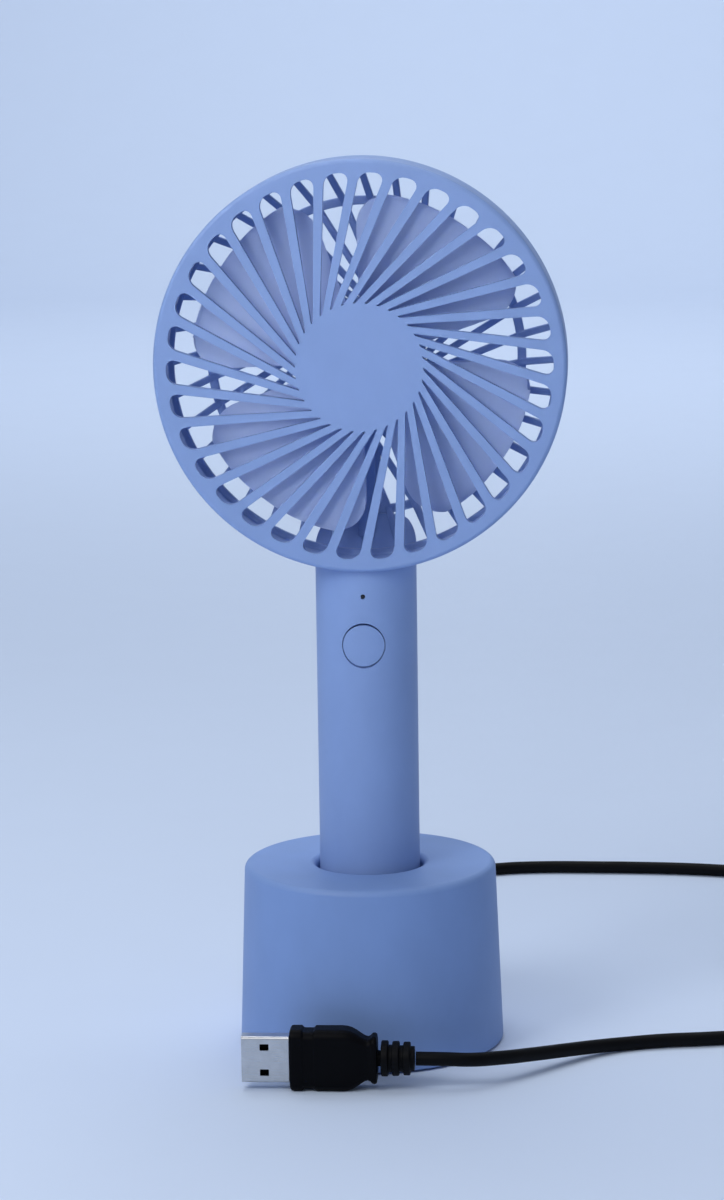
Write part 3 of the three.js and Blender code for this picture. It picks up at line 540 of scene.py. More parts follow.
@dataclass(frozen=True)
class Finish:
    """What a surface is made of, and the record's slot that names it."""

    slot: str
    colour: Colour
    roughness: float

    def material(self) -> bpy.types.Material:
        """Gives this finish's material, which is made once."""
        name = f"{type(self).__name__}_{self.slot}"
        return bpy.data.materials.get(name) or self.made(name)

    def made(self, name: str) -> bpy.types.Material:
        """Makes the material."""
        raise NotImplementedError


@dataclass(frozen=True)
class MouldedPlastic(Finish):
    """Satin moulded plastic: cloudy colour, a spark-eroded grain and faint flow waves."""

    grain: float = 0.22
    relief: float = 0.006
    waviness: float = 0.01
    gloss: float = 0.42
    subsurface: float = 0.0

    def made(self, name: str) -> bpy.types.Material:
        """Makes the material."""
        bench = Bench(name, self.colour, self.roughness)
        cloud = bench.noise((14, 14, 22), detail=4)
        grain = bench.noise((self.grain,) * 3, detail=2)
        bench.tint(bench.spread(cloud, 0, 1), shaded(self.colour, 0.965), shaded(self.colour, 1.035))
        bench.wear(grain, self.roughness - 0.05, self.roughness + 0.06)
        bench.bump((bench.noise((9, 9, 16), detail=1), self.waviness), (grain, self.relief))
        bench.shader.inputs["Subsurface Weight"].default_value = self.subsurface
        bench.shader.inputs["Subsurface Radius"].default_value = (0.0012, 0.0014, 0.002)
        bench.shader.inputs["Specular IOR Level"].default_value = self.gloss
        return bench.material


@dataclass(frozen=True)
class Rubber(Finish):
    """Matt rubber or soft cord jacket with a fine bloom."""

    grain: float = 0.35
    gloss: float = 0.3

    def made(self, name: str) -> bpy.types.Material:
        """Makes the material."""
        bench = Bench(name, self.colour, self.roughness)
        bench.shader.inputs["Specular IOR Level"].default_value = self.gloss
        bloom = bench.noise((6, 6, 6), detail=5)
        grain = bench.noise((self.grain,) * 3, detail=3)
        bench.tint(bench.spread(bloom, 0, 1), shaded(self.colour, 0.75), shaded(self.colour, 1.35))
        bench.wear(bloom, self.roughness - 0.08, self.roughness + 0.08)
        bench.bump((grain, 0.008))
        return bench.material


@dataclass(frozen=True)
class Metal(Finish):
    """Drawn, plated or turned metal, brushed along one direction."""

    brush: tuple[float, float, float] = (6.0, 0.12, 0.12)
    stain: float = 0.12

    def made(self, name: str) -> bpy.types.Material:
        """Makes the material."""
        bench = Bench(name, self.colour, self.roughness, metallic=1)
        streaks = bench.noise(self.brush, detail=4)
        stain = bench.noise((3, 3, 3), detail=5)
        bench.tint(bench.spread(stain, 0, 1), shaded(self.colour, 1 - self.stain), self.colour)
        bench.wear(streaks, self.roughness - 0.07, self.roughness + 0.12)
        bench.bump((streaks, 0.0015))
        return bench.material


@dataclass(frozen=True)
class CircuitBoard(Finish):
    """Solder mask over fine copper runs."""

    run: float = 1.1

    def made(self, name: str) -> bpy.types.Material:
        """Makes the material."""
        bench = Bench(name, self.colour, self.roughness)
        bricks = bench.nodes.new("ShaderNodeTexBrick")
        bricks.inputs["Scale"].default_value = 1.0
        bricks.inputs["Mortar Size"].default_value = 0.09
        bricks.inputs["Mortar Smooth"].default_value = 0.3
        bench.link(bench.stretched((self.run * 2, self.run, self.run)), bricks.inputs["Vector"])
        runs = bricks.outputs["Fac"]
        bench.tint(runs, self.colour, shaded(self.colour, 1.9))
        bench.wear(bench.noise((2, 2, 2)), self.roughness - 0.06, self.roughness + 0.06)
        bench.bump((runs, 0.03))
        return bench.material


@dataclass(frozen=True)
class Banded(Finish):
    """Stacked or wound metal whose layers show as fine bands, such as sheets of iron or turns of wire."""

    pitch: float = 0.35
    direction: Axis = Axis.Y
    metallic: float = 1.0

    def made(self, name: str) -> bpy.types.Material:
        """Makes the material."""
        bench = Bench(name, self.colour, self.roughness, metallic=self.metallic)
        # One wave repeats over about a third of a unit.
        layers = bench.bands((self.pitch * 3.14,) * 3, self.direction, distortion=0.15)
        bench.tint(bench.spread(layers, 0, 1), shaded(self.colour, 0.55), self.colour)
        bench.wear(bench.noise((1.5, 1.5, 1.5)), self.roughness - 0.08, self.roughness + 0.1)
        bench.bump((layers, self.pitch * 0.25))
        return bench.material


SHELL = MouldedPlastic("shell_plastic", (0.224, 0.340, 0.650), 0.46)
# The impeller is the shell's plastic, painted much lighter: a painted highlight that makes up for the shade
# inside the cage.
IMPELLER_PAINTED_LIGHT = MouldedPlastic("impeller_plastic", (0.480, 0.600, 0.900), 0.5, subsurface=0.08)
DOCK = MouldedPlastic("dock_plastic", (0.199, 0.322, 0.642), 0.5, relief=0.008)
WHITE = MouldedPlastic("white_plastic", (0.72, 0.72, 0.68), 0.45)
BLACK = MouldedPlastic("black_plastic", (0.0014, 0.0015, 0.0026), 0.46, grain=0.3, relief=0.01, gloss=0.07)
CLEAR = MouldedPlastic("clear_plastic", (0.020, 0.022, 0.028), 0.2, relief=0.001)
JACKET = Rubber("cord_jacket", (0.0018, 0.0020, 0.0030), 0.5, gloss=0.1)
TIE = Rubber("tie_rubber", (0.010, 0.010, 0.012), 0.75)
FOOT = Rubber("foot_rubber", (0.018, 0.018, 0.020), 0.85)
RED_WIRE = Rubber("red_wire", (0.42, 0.012, 0.010), 0.45)
BLACK_WIRE = Rubber("black_wire", (0.012, 0.012, 0.014), 0.45)
BOARD = CircuitBoard("circuit_board", (0.010, 0.095, 0.040), 0.4)
SLEEVE = MouldedPlastic("cell_wrap", (0.030, 0.170, 0.420), 0.3, grain=1.6, relief=0.012)
STEEL = Metal("steel", (0.62, 0.63, 0.65), 0.3)
NICKEL = Metal("nickel", (0.70, 0.69, 0.66), 0.28)
IRON = Banded("iron", (0.22, 0.23, 0.25), 0.5)
MAGNET = Rubber("magnet", (0.055, 0.056, 0.060), 0.55, grain=0.2)
BRASS = Metal("brass", (0.62, 0.42, 0.17), 0.28)
COPPER = Banded("copper", (0.60, 0.20, 0.07), 0.35, pitch=0.2, direction=Axis.X)
GOLD = Metal("gold_contact", (0.80, 0.58, 0.24), 0.24)


def dressed(solid: Solid, name: str, finish: Finish, body: str, replaced: Sequence[str] = (),
            crease: float = 32.0) -> bpy.types.Object:
    """Finishes a solid as a piece: scale, shading, material, body, slot and replaced nodes.

    Args:
        solid: The solid, in millimetres and in its place.
        name: The piece's name.
        finish: What it is made of.
        body: The body it rides on.
        replaced: The frame's nodes that it stands for.
        crease: The angle above which an edge stays sharp, in degrees.

    Returns:
        The piece.
    """
    piece = solid.thing
    piece.name = piece.data.name = name
    form = bmesh.new()
    form.from_mesh(piece.data)
    bmesh.ops.remove_doubles(form, verts=form.verts[:], dist=MERGE)
    bmesh.ops.dissolve_degenerate(form, edges=form.edges[:], dist=MERGE)
    bmesh.ops.scale(form, vec=(MILLIMETRE,) * 3, verts=form.verts[:])
    form.to_mesh(piece.data)
    form.free()
    piece.data.shade_smooth()
    piece.data.set_sharp_from_angle(angle=math.radians(crease))
    weighted = piece.modifiers.new("weighted normals", "WEIGHTED_NORMAL")
    weighted.keep_sharp = True
    piece.data.materials.clear()
    piece.data.materials.append(finish.material())
    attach(piece, body)
    if replaced:
        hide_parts(*replaced)
    LOG.info("%s: %d faces, rides on %s", name, len(piece.data.polygons), body)
    return piece


# ---------------------------------------------------------------- studio
@dataclass
class Studio:
    """The floor with its curved backdrop, the lights and the camera."""

    azimuth: float = 4.13
    elevation: float = 10.15
    roll: float = -0.81
    distance: float = 930.0
    lens: float = 107.5
    target: tuple[float, float, float] = (-1.16, 0.0, 117.35)
    floor_front: float = -1600.0
    floor_back: float = 3000.0
    bend: float = 900.0
    wall_top: float = 2600.0
    half_width: float = 2200.0
    paper: Colour = (0.630, 0.735, 0.925)

    def camera(self) -> None:
        """Sets up the camera."""
        azimuth, elevation, roll = map(math.radians, (self.azimuth, self.elevation, self.roll))
        back = Vector((math.sin(azimuth) * math.cos(elevation), -math.cos(azimuth) * math.cos(elevation),
                       math.sin(elevation)))
        right = (-back).cross(Vector((0, 0, 1))).normalized()
        up = right.cross(-back)
        across = right * math.cos(roll) + up * math.sin(roll)
        upward = up * math.cos(roll) - right * math.sin(roll)
        data = bpy.data.cameras.new("camera")
        data.lens = self.lens
        data.clip_end = 20
        camera = linked("camera", data)
        turn = Matrix((across, upward, back)).transposed().to_4x4()
        place = (Vector(self.target) + back * self.distance) * MILLIMETRE
        camera.matrix_world = Matrix.Translation(place) @ turn
        bpy.context.scene.camera = camera

    def sweep(self) -> None:
        """Lays the floor, which curves up into the backdrop."""
        bench = Bench("paper", self.paper, 0.9)
        fleck = bench.noise((30, 30, 30), detail=6)
        bench.tint(bench.spread(fleck, 0, 1), shaded(self.paper, 0.992), self.paper)
        form = bmesh.new()
        outline = rounded([(self.floor_front, 0, 0), (self.floor_back, 0, self.bend),
                           (self.floor_back, self.wall_top, 0)], closed=False, steps=32)
        line = [form.verts.new((-self.half_width, y, z)) for y, z in outline]
        edges = [form.edges.new(pair) for pair in zip(line, line[1:])]
        sheet = bmesh.ops.extrude_edge_only(form, edges=edges)
        moved = [item for item in sheet["geom"] if isinstance(item, bmesh.types.BMVert)]
        bmesh.ops.translate(form, verts=moved, vec=(2 * self.half_width, 0, 0))
        bmesh.ops.recalc_face_normals(form, faces=form.faces[:])
        bmesh.ops.scale(form, vec=(MILLIMETRE,) * 3, verts=form.verts[:])
        mesh = bpy.data.meshes.new("backdrop")
        form.to_mesh(mesh)
        form.free()
        mesh.shade_smooth()
        mesh.materials.append(bench.material)
        linked("backdrop", mesh)

    def light(self, name: str, place: Sequence[float], size: float, power: float, colour: Colour,
              aim: Corner | None = None, spread: float = 180.0) -> None:
        """Hangs one soft light that faces the object.

        Args:
            name: The light's name.
            place: Where it hangs, in millimetres.
            size: The side of its square, in millimetres.
            power: Its power in watts.
            colour: Its colour.
            aim: Where it points, or None for the camera's target.
            spread: How wide its beam is, in degrees.
        """
        data = bpy.data.lights.new(name, "AREA")
        data.spread = math.radians(spread)
        data.size = size * MILLIMETRE
        data.energy = power
        data.color = colour
        lamp = linked(name, data)
        towards = Vector(aim or self.target) - Vector(place)
        lamp.matrix_world = (Matrix.Translation(Vector(place) * MILLIMETRE)
                             @ towards.to_track_quat("-Z", "Y").to_matrix().to_4x4())

    def lights(self) -> None:
        """Hangs the lights and sets the soft light of the room."""
        self.light("key_light", (-470, -500, 650), 380, 2.85, (1.0, 0.99, 0.97))
        self.light("front_light", (-60, -650, 620), 420, 0.85, (0.97, 0.98, 1.0))
        self.light("top_light", (-100, 250, 900), 500, 1.2, (1.0, 1.0, 1.0))
        self.light("head_light", (-120, -760, 330), 150, 0.015, (1.0, 1.0, 1.0), (0, 0, 192), 16.0)
        self.light("floor_light", (0, 800, 1700), 1500, 5.5, (0.96, 0.98, 1.0), (0, 800, 0), 120.0)
        self.light("wall_light", (0, 900, 1900), 1500, 14.0, (0.96, 0.98, 1.0), (0, 2900, 400), 110.0)
        world = bpy.data.worlds.new("room")
        world.use_nodes = True
        sky = world.node_tree.nodes["Background"]
        sky.inputs["Color"].default_value = (0.80, 0.88, 1.0, 1)
        sky.inputs["Strength"].default_value = 0.29
        bpy.context.scene.world = world

    def build(self) -> None:
        """Builds the whole studio."""
        self.camera()
        self.sweep()
        self.lights()
        bpy.context.scene.view_settings.view_transform = "Standard"


# ---------------------------------------------------------------- cable
@dataclass(frozen=True)
class StrainRelief:
    """The ribbed sleeve where a cord leaves its plug. Its ribs get smaller towards the cord."""

    radius: float
    taper: float
    groove_depth: float
    ribs: int
    rib_share: float
    crest: float
    root: float
    steps: int

    def solid(self, length: float, axis: Axis) -> Solid:
        """Turns the sleeve.

        Args:
            length: Its length.
            axis: The axis it lies along.

        Returns:
            The sleeve, which starts at zero.
        """
        pitch = length / self.ribs
        outline: list[Corner] = [(0, 0, 0)]
        for index in range(self.ribs):
            radius, start = self.radius - self.taper * index, index * pitch
            end = start + self.rib_share * pitch
            outline += [(radius, start, self.crest), (radius, end, self.crest),
                        (radius - self.groove_depth, end, self.root),
                        (radius - self.groove_depth, start + pitch, self.root)]
        outline.append((0, length, 0))
        return Solid(turned(rounded(outline, closed=False), axis, self.steps))


@dataclass
class Cable:
    """The charging cable: its cord, its two plugs with their strain reliefs, and the tie on its coil."""

    diameter: float = 3.6
    length: float = 0.87
    coil_x: float = 126.0
    coil_y: float = 72.0
    coil_z: float = 2.45
    coil_radius: float = 24.85
    coil_pitch: float = 3.7
    coil_turns: int = 3
    turn_points: int = 16
    crossing_z: float = 6.5
    usb_relief: StrainRelief = StrainRelief(4.55, 0.15, 1.1, 3, 0.625, 0.35, 0.2, 56)
    usb_relief_length: float = 8.4
    micro_relief: StrainRelief = StrainRelief(3.3, 0.25, 0.6, 4, 0.6, 0.3, 0.15, 48)
    micro_grips: int = 5
    rear_run: tuple[Corner, ...] = (
        (0, 62.3, 7.3), (0, 69, 7.1), (0, 77, 5.6), (0, 85, 3.5), (0, 93, 2.3), (0, 102, 1.9),
        (0, 116, 1.9), (0, 128, 1.9), (1, 138.5, 1.9), (4.6, 149, 1.9), (11, 158.5, 1.9),
        (19.8, 165.8, 1.9), (30, 170.3, 1.9), (42, 172.2, 1.9), (57, 172.3, 1.9), (73, 171.8, 1.9),
        (88, 170.4, 1.9), (102, 167.4, 1.9), (116, 162, 1.9), (128, 153.5, 1.9), (138, 141.5, 1.9),
        (145, 127, 1.9), (149, 112, 1.9), (150.8, 98, 2.1), (151, 87, 2.4))
    front_run: tuple[Corner, ...] = (
        (139.9, 66.5, 6.5), (140.3, 58, 6.5), (140.5, 50, 6.5), (140.1, 40.5, 5.2), (138.4, 31, 3.3),
        (134.6, 21.8, 2.2), (128.5, 12.6, 1.9), (120, 5, 1.9), (110, -0.6, 1.9), (99, -4.4, 1.9),
        (88, -6.8, 1.9), (77, -8.7, 1.9), (67, -11.7, 1.9), (59, -16.5, 2.5), (51, -23.5, 3.6),
        (43, -31.6, 5.0), (35, -39.2, 6.4), (27.8, -43.8, 7.3), (21, -45.3, 7.9), (14.1, -45.4, 8.0))

    def coil(self) -> list[Corner]:
        """Winds the flat coil inwards, clockwise from above, and lifts its end over the turns."""
        points = []
        for index in range(self.coil_turns * self.turn_points + 1):
            turn = index / self.turn_points
            radius = self.coil_radius - self.coil_pitch * turn
            angle = -FULL_TURN * turn
            lift = max(0.0, (turn - self.coil_turns + 0.3) / 0.3)
            height = self.coil_z + (self.crossing_z - self.coil_z) * lift * lift * (3 - 2 * lift)
            points.append((self.coil_x + radius * math.cos(angle), self.coil_y + radius * math.sin(angle),
                           height))
        return points

    def cord(self) -> bpy.types.Object:
        """Lays the cord along its runs and its coil."""
        data = bpy.data.curves.new("charging_cord", "CURVE")
        data.dimensions = "3D"
        data.bevel_depth = self.diameter / 2 * MILLIMETRE
        data.bevel_resolution = 5
        data.resolution_u = 6
        data.use_fill_caps = True
        route = [*self.rear_run, *self.coil(), *self.front_run]
        spline = data.splines.new("BEZIER")
        spline.bezier_points.add(len(route) - 1)
        for knot, place in zip(spline.bezier_points, route):
            knot.co = Vector(place) * MILLIMETRE
            knot.handle_left_type = knot.handle_right_type = "AUTO"
        cord = linked("charging_cord", data)
        data.materials.append(JACKET.material())
        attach(cord, "cable")
        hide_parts("cord_rear", "cord_coil", "cord_front")
        LOG.info("charging_cord: %d points", len(route))
        return cord

    def usb_plug(self) -> list[bpy.types.Object]:
        """Builds the large plug, which lies along X and stands on its narrow side."""
        body_low, body_high = extent("usb_plug_body")
        shell_low, shell_high = extent("usb_plug_shell")
        relief_low = extent("usb_plug_relief")[0]
        _, y, z = middle_of("usb_plug_body")
        half_height, half_depth = (body_high.z - body_low.z) / 2, (body_high.y - body_low.y) / 2
        # Along the body: distance from its front, share of the full height, and share of the full depth.
        waist = [(0, 0.94, 0.92), (0.35, 0.99, 0.98), (0.8, 1, 1), (2.9, 1, 1), (3.3, 0.95, 0.97),
                 (3.5, 0.925, 0.95), (5.9, 0.925, 0.95), (6.1, 0.95, 0.97), (6.5, 0.995, 1), (13.2, 1, 1),
                 (14.4, 0.985, 0.99), (15.6, 0.94, 0.96), (16.8, 0.86, 0.91), (17.9, 0.765, 0.85),
                 (18.9, 0.69, 0.8), (19.6, 0.665, 0.79), (20.2, 0.69, 0.8), (20.6, 0.75, 0.85),
                 (20.9, 0.775, 0.88), (21.5, 0.775, 0.88), (21.9, 0.74, 0.84), (22.0, 0.66, 0.76)]
        sections = [(along, rounded_box(half_depth * deep, half_height * high, 2.2 * deep))
                    for along, high, deep in waist]
        neck = Solid(rod(2.05, 21.0, 22.9, Axis.X, 40))
        body = Solid(loft(sections, Axis.X)).joined(neck).moved(body_low.x, y, z)

        wide, deep, long = (shell_high.z - shell_low.z) / 2, (shell_high.y - shell_low.y) / 2, 12.0
        wall, past = 0.35, 1.0
        tube = Solid(prism(rounded_box(deep, wide, 0.7), -long, 0, Axis.X))
        hollow = Solid(prism(rounded_box(deep - wall, wide - wall, 0.4), -long - past, -0.5, Axis.X))
        window_x, window_z, half_long, half_high = -6.2, 3.3, 1.15, 0.85
        windows = []
        for side in SIDES:
            form = block((window_x - half_long, -deep - past, side * window_z - half_high),
                         (window_x + half_long, deep + past, side * window_z + half_high))
            windows.append(Solid(bevelled(form, 0.2, 2)))
        dimple_x, dimple_floor = -2.6, -deep + 0.12
        profile = [(0, -deep - past), (0.55, -deep - past), (0.3, dimple_floor), (0, dimple_floor)]
        dimple = Solid(turned(profile, Axis.Y, 24)).moved(dimple_x)
        shell = tube.without(hollow, *windows, dimple)
        shell.moved(shell_high.x, y, z)
        relief = self.usb_relief.solid(self.usb_relief_length, Axis.X).moved(relief_low.x, y, z)
        return [
            dressed(shell, "usb_shell", STEEL, "cable", ["usb_plug_shell"]),
            dressed(body, "usb_body", BLACK, "cable", ["usb_plug_body"]),
            dressed(relief, "usb_strain_relief", JACKET, "cable", ["usb_plug_relief"]),
        ]

    def micro_plug(self) -> list[bpy.types.Object]:
        """Builds the small plug, which lies along Y behind the dock."""
        body_low, body_high = extent("micro_plug_body")
        shell_low, shell_high = extent("micro_plug_shell")
        relief_low, relief_high = extent("micro_plug_relief")
        z = middle_of("micro_plug_body").z
        half_width, half_height = (body_high.x - body_low.x) / 2, (body_high.z - body_low.z) / 2
        long = body_high.y - body_low.y
        shape = [(0, 0.93, 0.9), (0.03, 0.99, 0.98), (0.07, 1, 1), (0.6, 1, 1), (0.75, 0.97, 0.96),
                 (0.88, 0.85, 0.88), (0.96, 0.74, 0.84), (1, 0.66, 0.78)]
        sections = [(along * long, rounded_box(half_width * wide, half_height * high, 1.6 * high))
                    for along, wide, high in shape]
        body = Solid(loft(sections, Axis.Y)).moved(0, body_low.y, z)
        grips = []
        for side in SIDES:
            for index in range(self.micro_grips):
                edge, start = side * half_width, body_low.y + 3 + 1.3 * index
                form = block((edge - 0.3, start, z - 2), (edge + 0.3, start + 0.6, z + 2))
                grips.append(Solid(bevelled(form, 0.1, 1)))
        body = body.without(*grips)

        half_wide, half_tall = (shell_high.x - shell_low.x) / 2, (shell_high.z - shell_low.z) / 2
        key, soft = 0.7, 0.3
        keyed = [(-half_wide + key, -half_tall, soft), (half_wide - key, -half_tall, soft),
                 (half_wide, -half_tall + key, soft), (half_wide, half_tall, soft),
                 (-half_wide, half_tall, soft), (-half_wide, -half_tall + key, soft)]
        inner = [(x * 0.92, v * 0.78, corner * 0.7) for x, v, corner in keyed]
        shell = Solid(prism(rounded(keyed), shell_low.y, shell_high.y, Axis.Y)).without(
            Solid(prism(rounded(inner), shell_low.y - 1, shell_high.y - 0.6, Axis.Y)))
        shell.moved(z=z)

        relief = self.micro_relief.solid(relief_high.y - relief_low.y, Axis.Y).moved(0, relief_low.y, z)
        return [
            dressed(shell, "micro_shell", STEEL, "cable", ["micro_plug_shell"]),
            dressed(body, "micro_body", BLACK, "cable", ["micro_plug_body"]),
            dressed(relief, "micro_strain_relief", JACKET, "cable", ["micro_plug_relief"]),
        ]

    def tie(self) -> bpy.types.Object:
        """Builds the rubber band round one side of the coil."""
        low, high = extent("coil_tie")
        middle, half = (low + high) / 2, (high - low) / 2
        band = Solid(bevelled(prism(rounded_box(half.x, half.z, 1.8), -half.y, half.y, Axis.Y), 0.15, 2))
        room = Solid(prism(rounded_box(half.x - 0.5, half.z - 0.5, 1.4), -half.y - 1, half.y + 1, Axis.Y))
        tie = band.without(room).moved(*middle)
        return dressed(tie, "rubber_tie", TIE, "cable", ["coil_tie"])

    def build(self) -> None:
        """Builds the cable's plugs and tie, and lays its cord."""
        pieces = [*self.usb_plug(), *self.micro_plug(), self.tie(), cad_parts["usb_plug_tongue"]]
        cord = self.cord()


# ---------------------------------------------------------------- head
@dataclass
class FrontGrille:
    """The front moulding: a flat ring, a plain disc and slanted bars that flare into the ring."""

    place: Layout
    bars: int = 34
    first_bar: float = -7.03
    offset: float = 11.0
    disc_radius: float = 16.3
    slot_radius: float = 49.1
    half_at_disc: float = 0.86
    half_at_ring: float = 1.2
    flare: float = 2.6
    depth: float = 2.4
    crest: float = 0.8
    edge: float = 1.2
    lip_outer: float = 50.2
    lip_inner: float = 49.2
    lip_root: float = 0.6

    def along(self, radius: float, across: float) -> float:
        """Gives how far along a bar a circle is met, at a distance across from the middle."""
        return math.sqrt(radius ** 2 - across ** 2)

    def side(self, hand: int) -> list[Point]:
        """Draws one side of a bar, from the disc to the ring's inner edge.

        Args:
            hand: 1 for the counter-clockwise side, -1 for the other.

        Returns:
            The side's points, with the flare as an arc.
        """
        start = self.offset + hand * self.half_at_disc
        points = [(self.along(self.disc_radius, start), start)]
        arc_steps = 6
        for step in range(arc_steps + 1):
            angle = math.radians(90) * (1 - step / arc_steps)
            across = self.offset + hand * (self.half_at_ring + self.flare * (1 - math.sin(angle)))
            inward = self.flare * (1 - math.cos(angle))
            points.append((self.along(self.slot_radius, across) - inward, across))
        return points

    def plate(self) -> bmesh.types.BMesh:
        """Draws one bar with its share of the ring and the disc, repeats it and gives it its depth."""
        pitch = FULL_TURN / self.bars
        left, right = self.side(1), self.side(-1)

        def bearing(point: Point) -> float:
            """Gives the angle of a point about the middle."""
            return math.atan2(point[1], point[0])

        def arc(radius: float, start: float, end: float, steps: int) -> list[Point]:
            """Draws an arc about the middle."""
            angles = [start + (end - start) * step / steps for step in range(steps + 1)]
            return [(radius * math.cos(angle), radius * math.sin(angle)) for angle in angles]

        outer_share = (bearing(left[-1]) + bearing(right[-1]) + pitch) / 2
        inner_share = (bearing(left[0]) + bearing(right[0]) + pitch) / 2
        root = arc(self.slot_radius, bearing(right[-1]), bearing(left[-1]), 3)
        heel = arc(self.disc_radius, bearing(left[0]), bearing(right[0]), 3)
        bar = [*right, *root[1:-1], *reversed(left), *heel[1:-1]]
        ring_inner = [*arc(self.slot_radius, outer_share - pitch, bearing(right[-1]), 1), *root[1:-1],
                      *arc(self.slot_radius, bearing(left[-1]), outer_share, 1)]
        ring = [*ring_inner, *arc(self.place.head_radius, outer_share, outer_share - pitch, 5)]
        wedge = [(0, 0), *arc(self.disc_radius, inner_share - pitch, bearing(right[0]), 1),
                 *reversed(heel[1:-1]), *arc(self.disc_radius, bearing(left[0]), inner_share, 1)]

        form = bmesh.new()
        for outline in (bar, ring, wedge):
            form.faces.new([form.verts.new((u, v, 0)) for u, v in outline])
        bmesh.ops.spin(form, geom=form.verts[:] + form.edges[:] + form.faces[:], cent=(0, 0, 0),
                       axis=(0, 0, 1), dvec=(0, 0, 0), angle=FULL_TURN - pitch, steps=self.bars - 1,
                       use_merge=False, use_duplicate=True)
        bmesh.ops.remove_doubles(form, verts=form.verts[:], dist=0.003)
        bmesh.ops.recalc_face_normals(form, faces=form.faces[:])
        self.deepen(form, form.faces[:], self.depth, keep=True)
        ring_faces = [face for face in form.faces
                      if face.calc_center_median().xy.length > self.slot_radius
                      and face.calc_center_median().z > self.depth - 0.01]
        self.deepen(form, ring_faces, self.place.ring_back_y - self.place.face_y - self.depth, keep=False)
        bmesh.ops.recalc_face_normals(form, faces=form.faces[:])
        return form

    @staticmethod
    def deepen(form: bmesh.types.BMesh, faces: list[bmesh.types.BMFace], depth: float, keep: bool) -> None:
        """Extrudes faces backwards.

        Args:
            form: The form that holds them.
            faces: The faces.
            depth: How far they go.
            keep: Whether the faces stay as the form's front.
        """
        made = bmesh.ops.extrude_face_region(form, geom=faces, use_keep_orig=keep)
        moved = [item for item in made["geom"] if isinstance(item, bmesh.types.BMVert)]
        bmesh.ops.translate(form, verts=moved, vec=(0, 0, depth))
        if not keep:
            stale = [face for face in faces if face.is_valid]
            bmesh.ops.delete(form, geom=stale, context="FACES_ONLY")

    def build(self) -> None:
        """Builds the grille."""
        form = self.plate()
        back = self.place.ring_back_y - self.place.face_y

        def at_front(edge: bmesh.types.BMEdge) -> bool:
            """Says whether an edge lies in the front face."""
            return all(abs(point.co.z) < 0.01 for point in edge.verts)

        def at_rim(edge: bmesh.types.BMEdge) -> bool:
            """Says whether an edge lies on the outer rim."""
            return all(point.co.xy.length > self.place.head_radius - 0.1 for point in edge.verts)

        bevelled(form, self.crest, 4, lambda edge: at_front(edge) and not at_rim(edge))
        bevelled(form, self.edge, 5, lambda edge: at_front(edge) and at_rim(edge))
        bevelled(form, 0.2, 2, lambda edge: at_rim(edge) and edge.verts[0].co.z > back - 0.01)
        bmesh.ops.transform(form, matrix=Axis.Y.matrix(), verts=form.verts[:])
        bmesh.ops.recalc_face_normals(form, faces=form.faces[:])
        grille = Solid(form).turned(self.first_bar).moved(y=self.place.face_y)
        lip_back = extent("front_grille")[1].y
        lip = Solid(collar((self.lip_inner, self.lip_outer), self.place.ring_back_y - self.lip_root, lip_back,
                           (0, 0, 0.3, 0.2), steps=136))
        grille.joined(lip).moved(z=self.place.head_z)
        dressed(grille, "grille_front", SHELL, "fan", ["front_grille"])


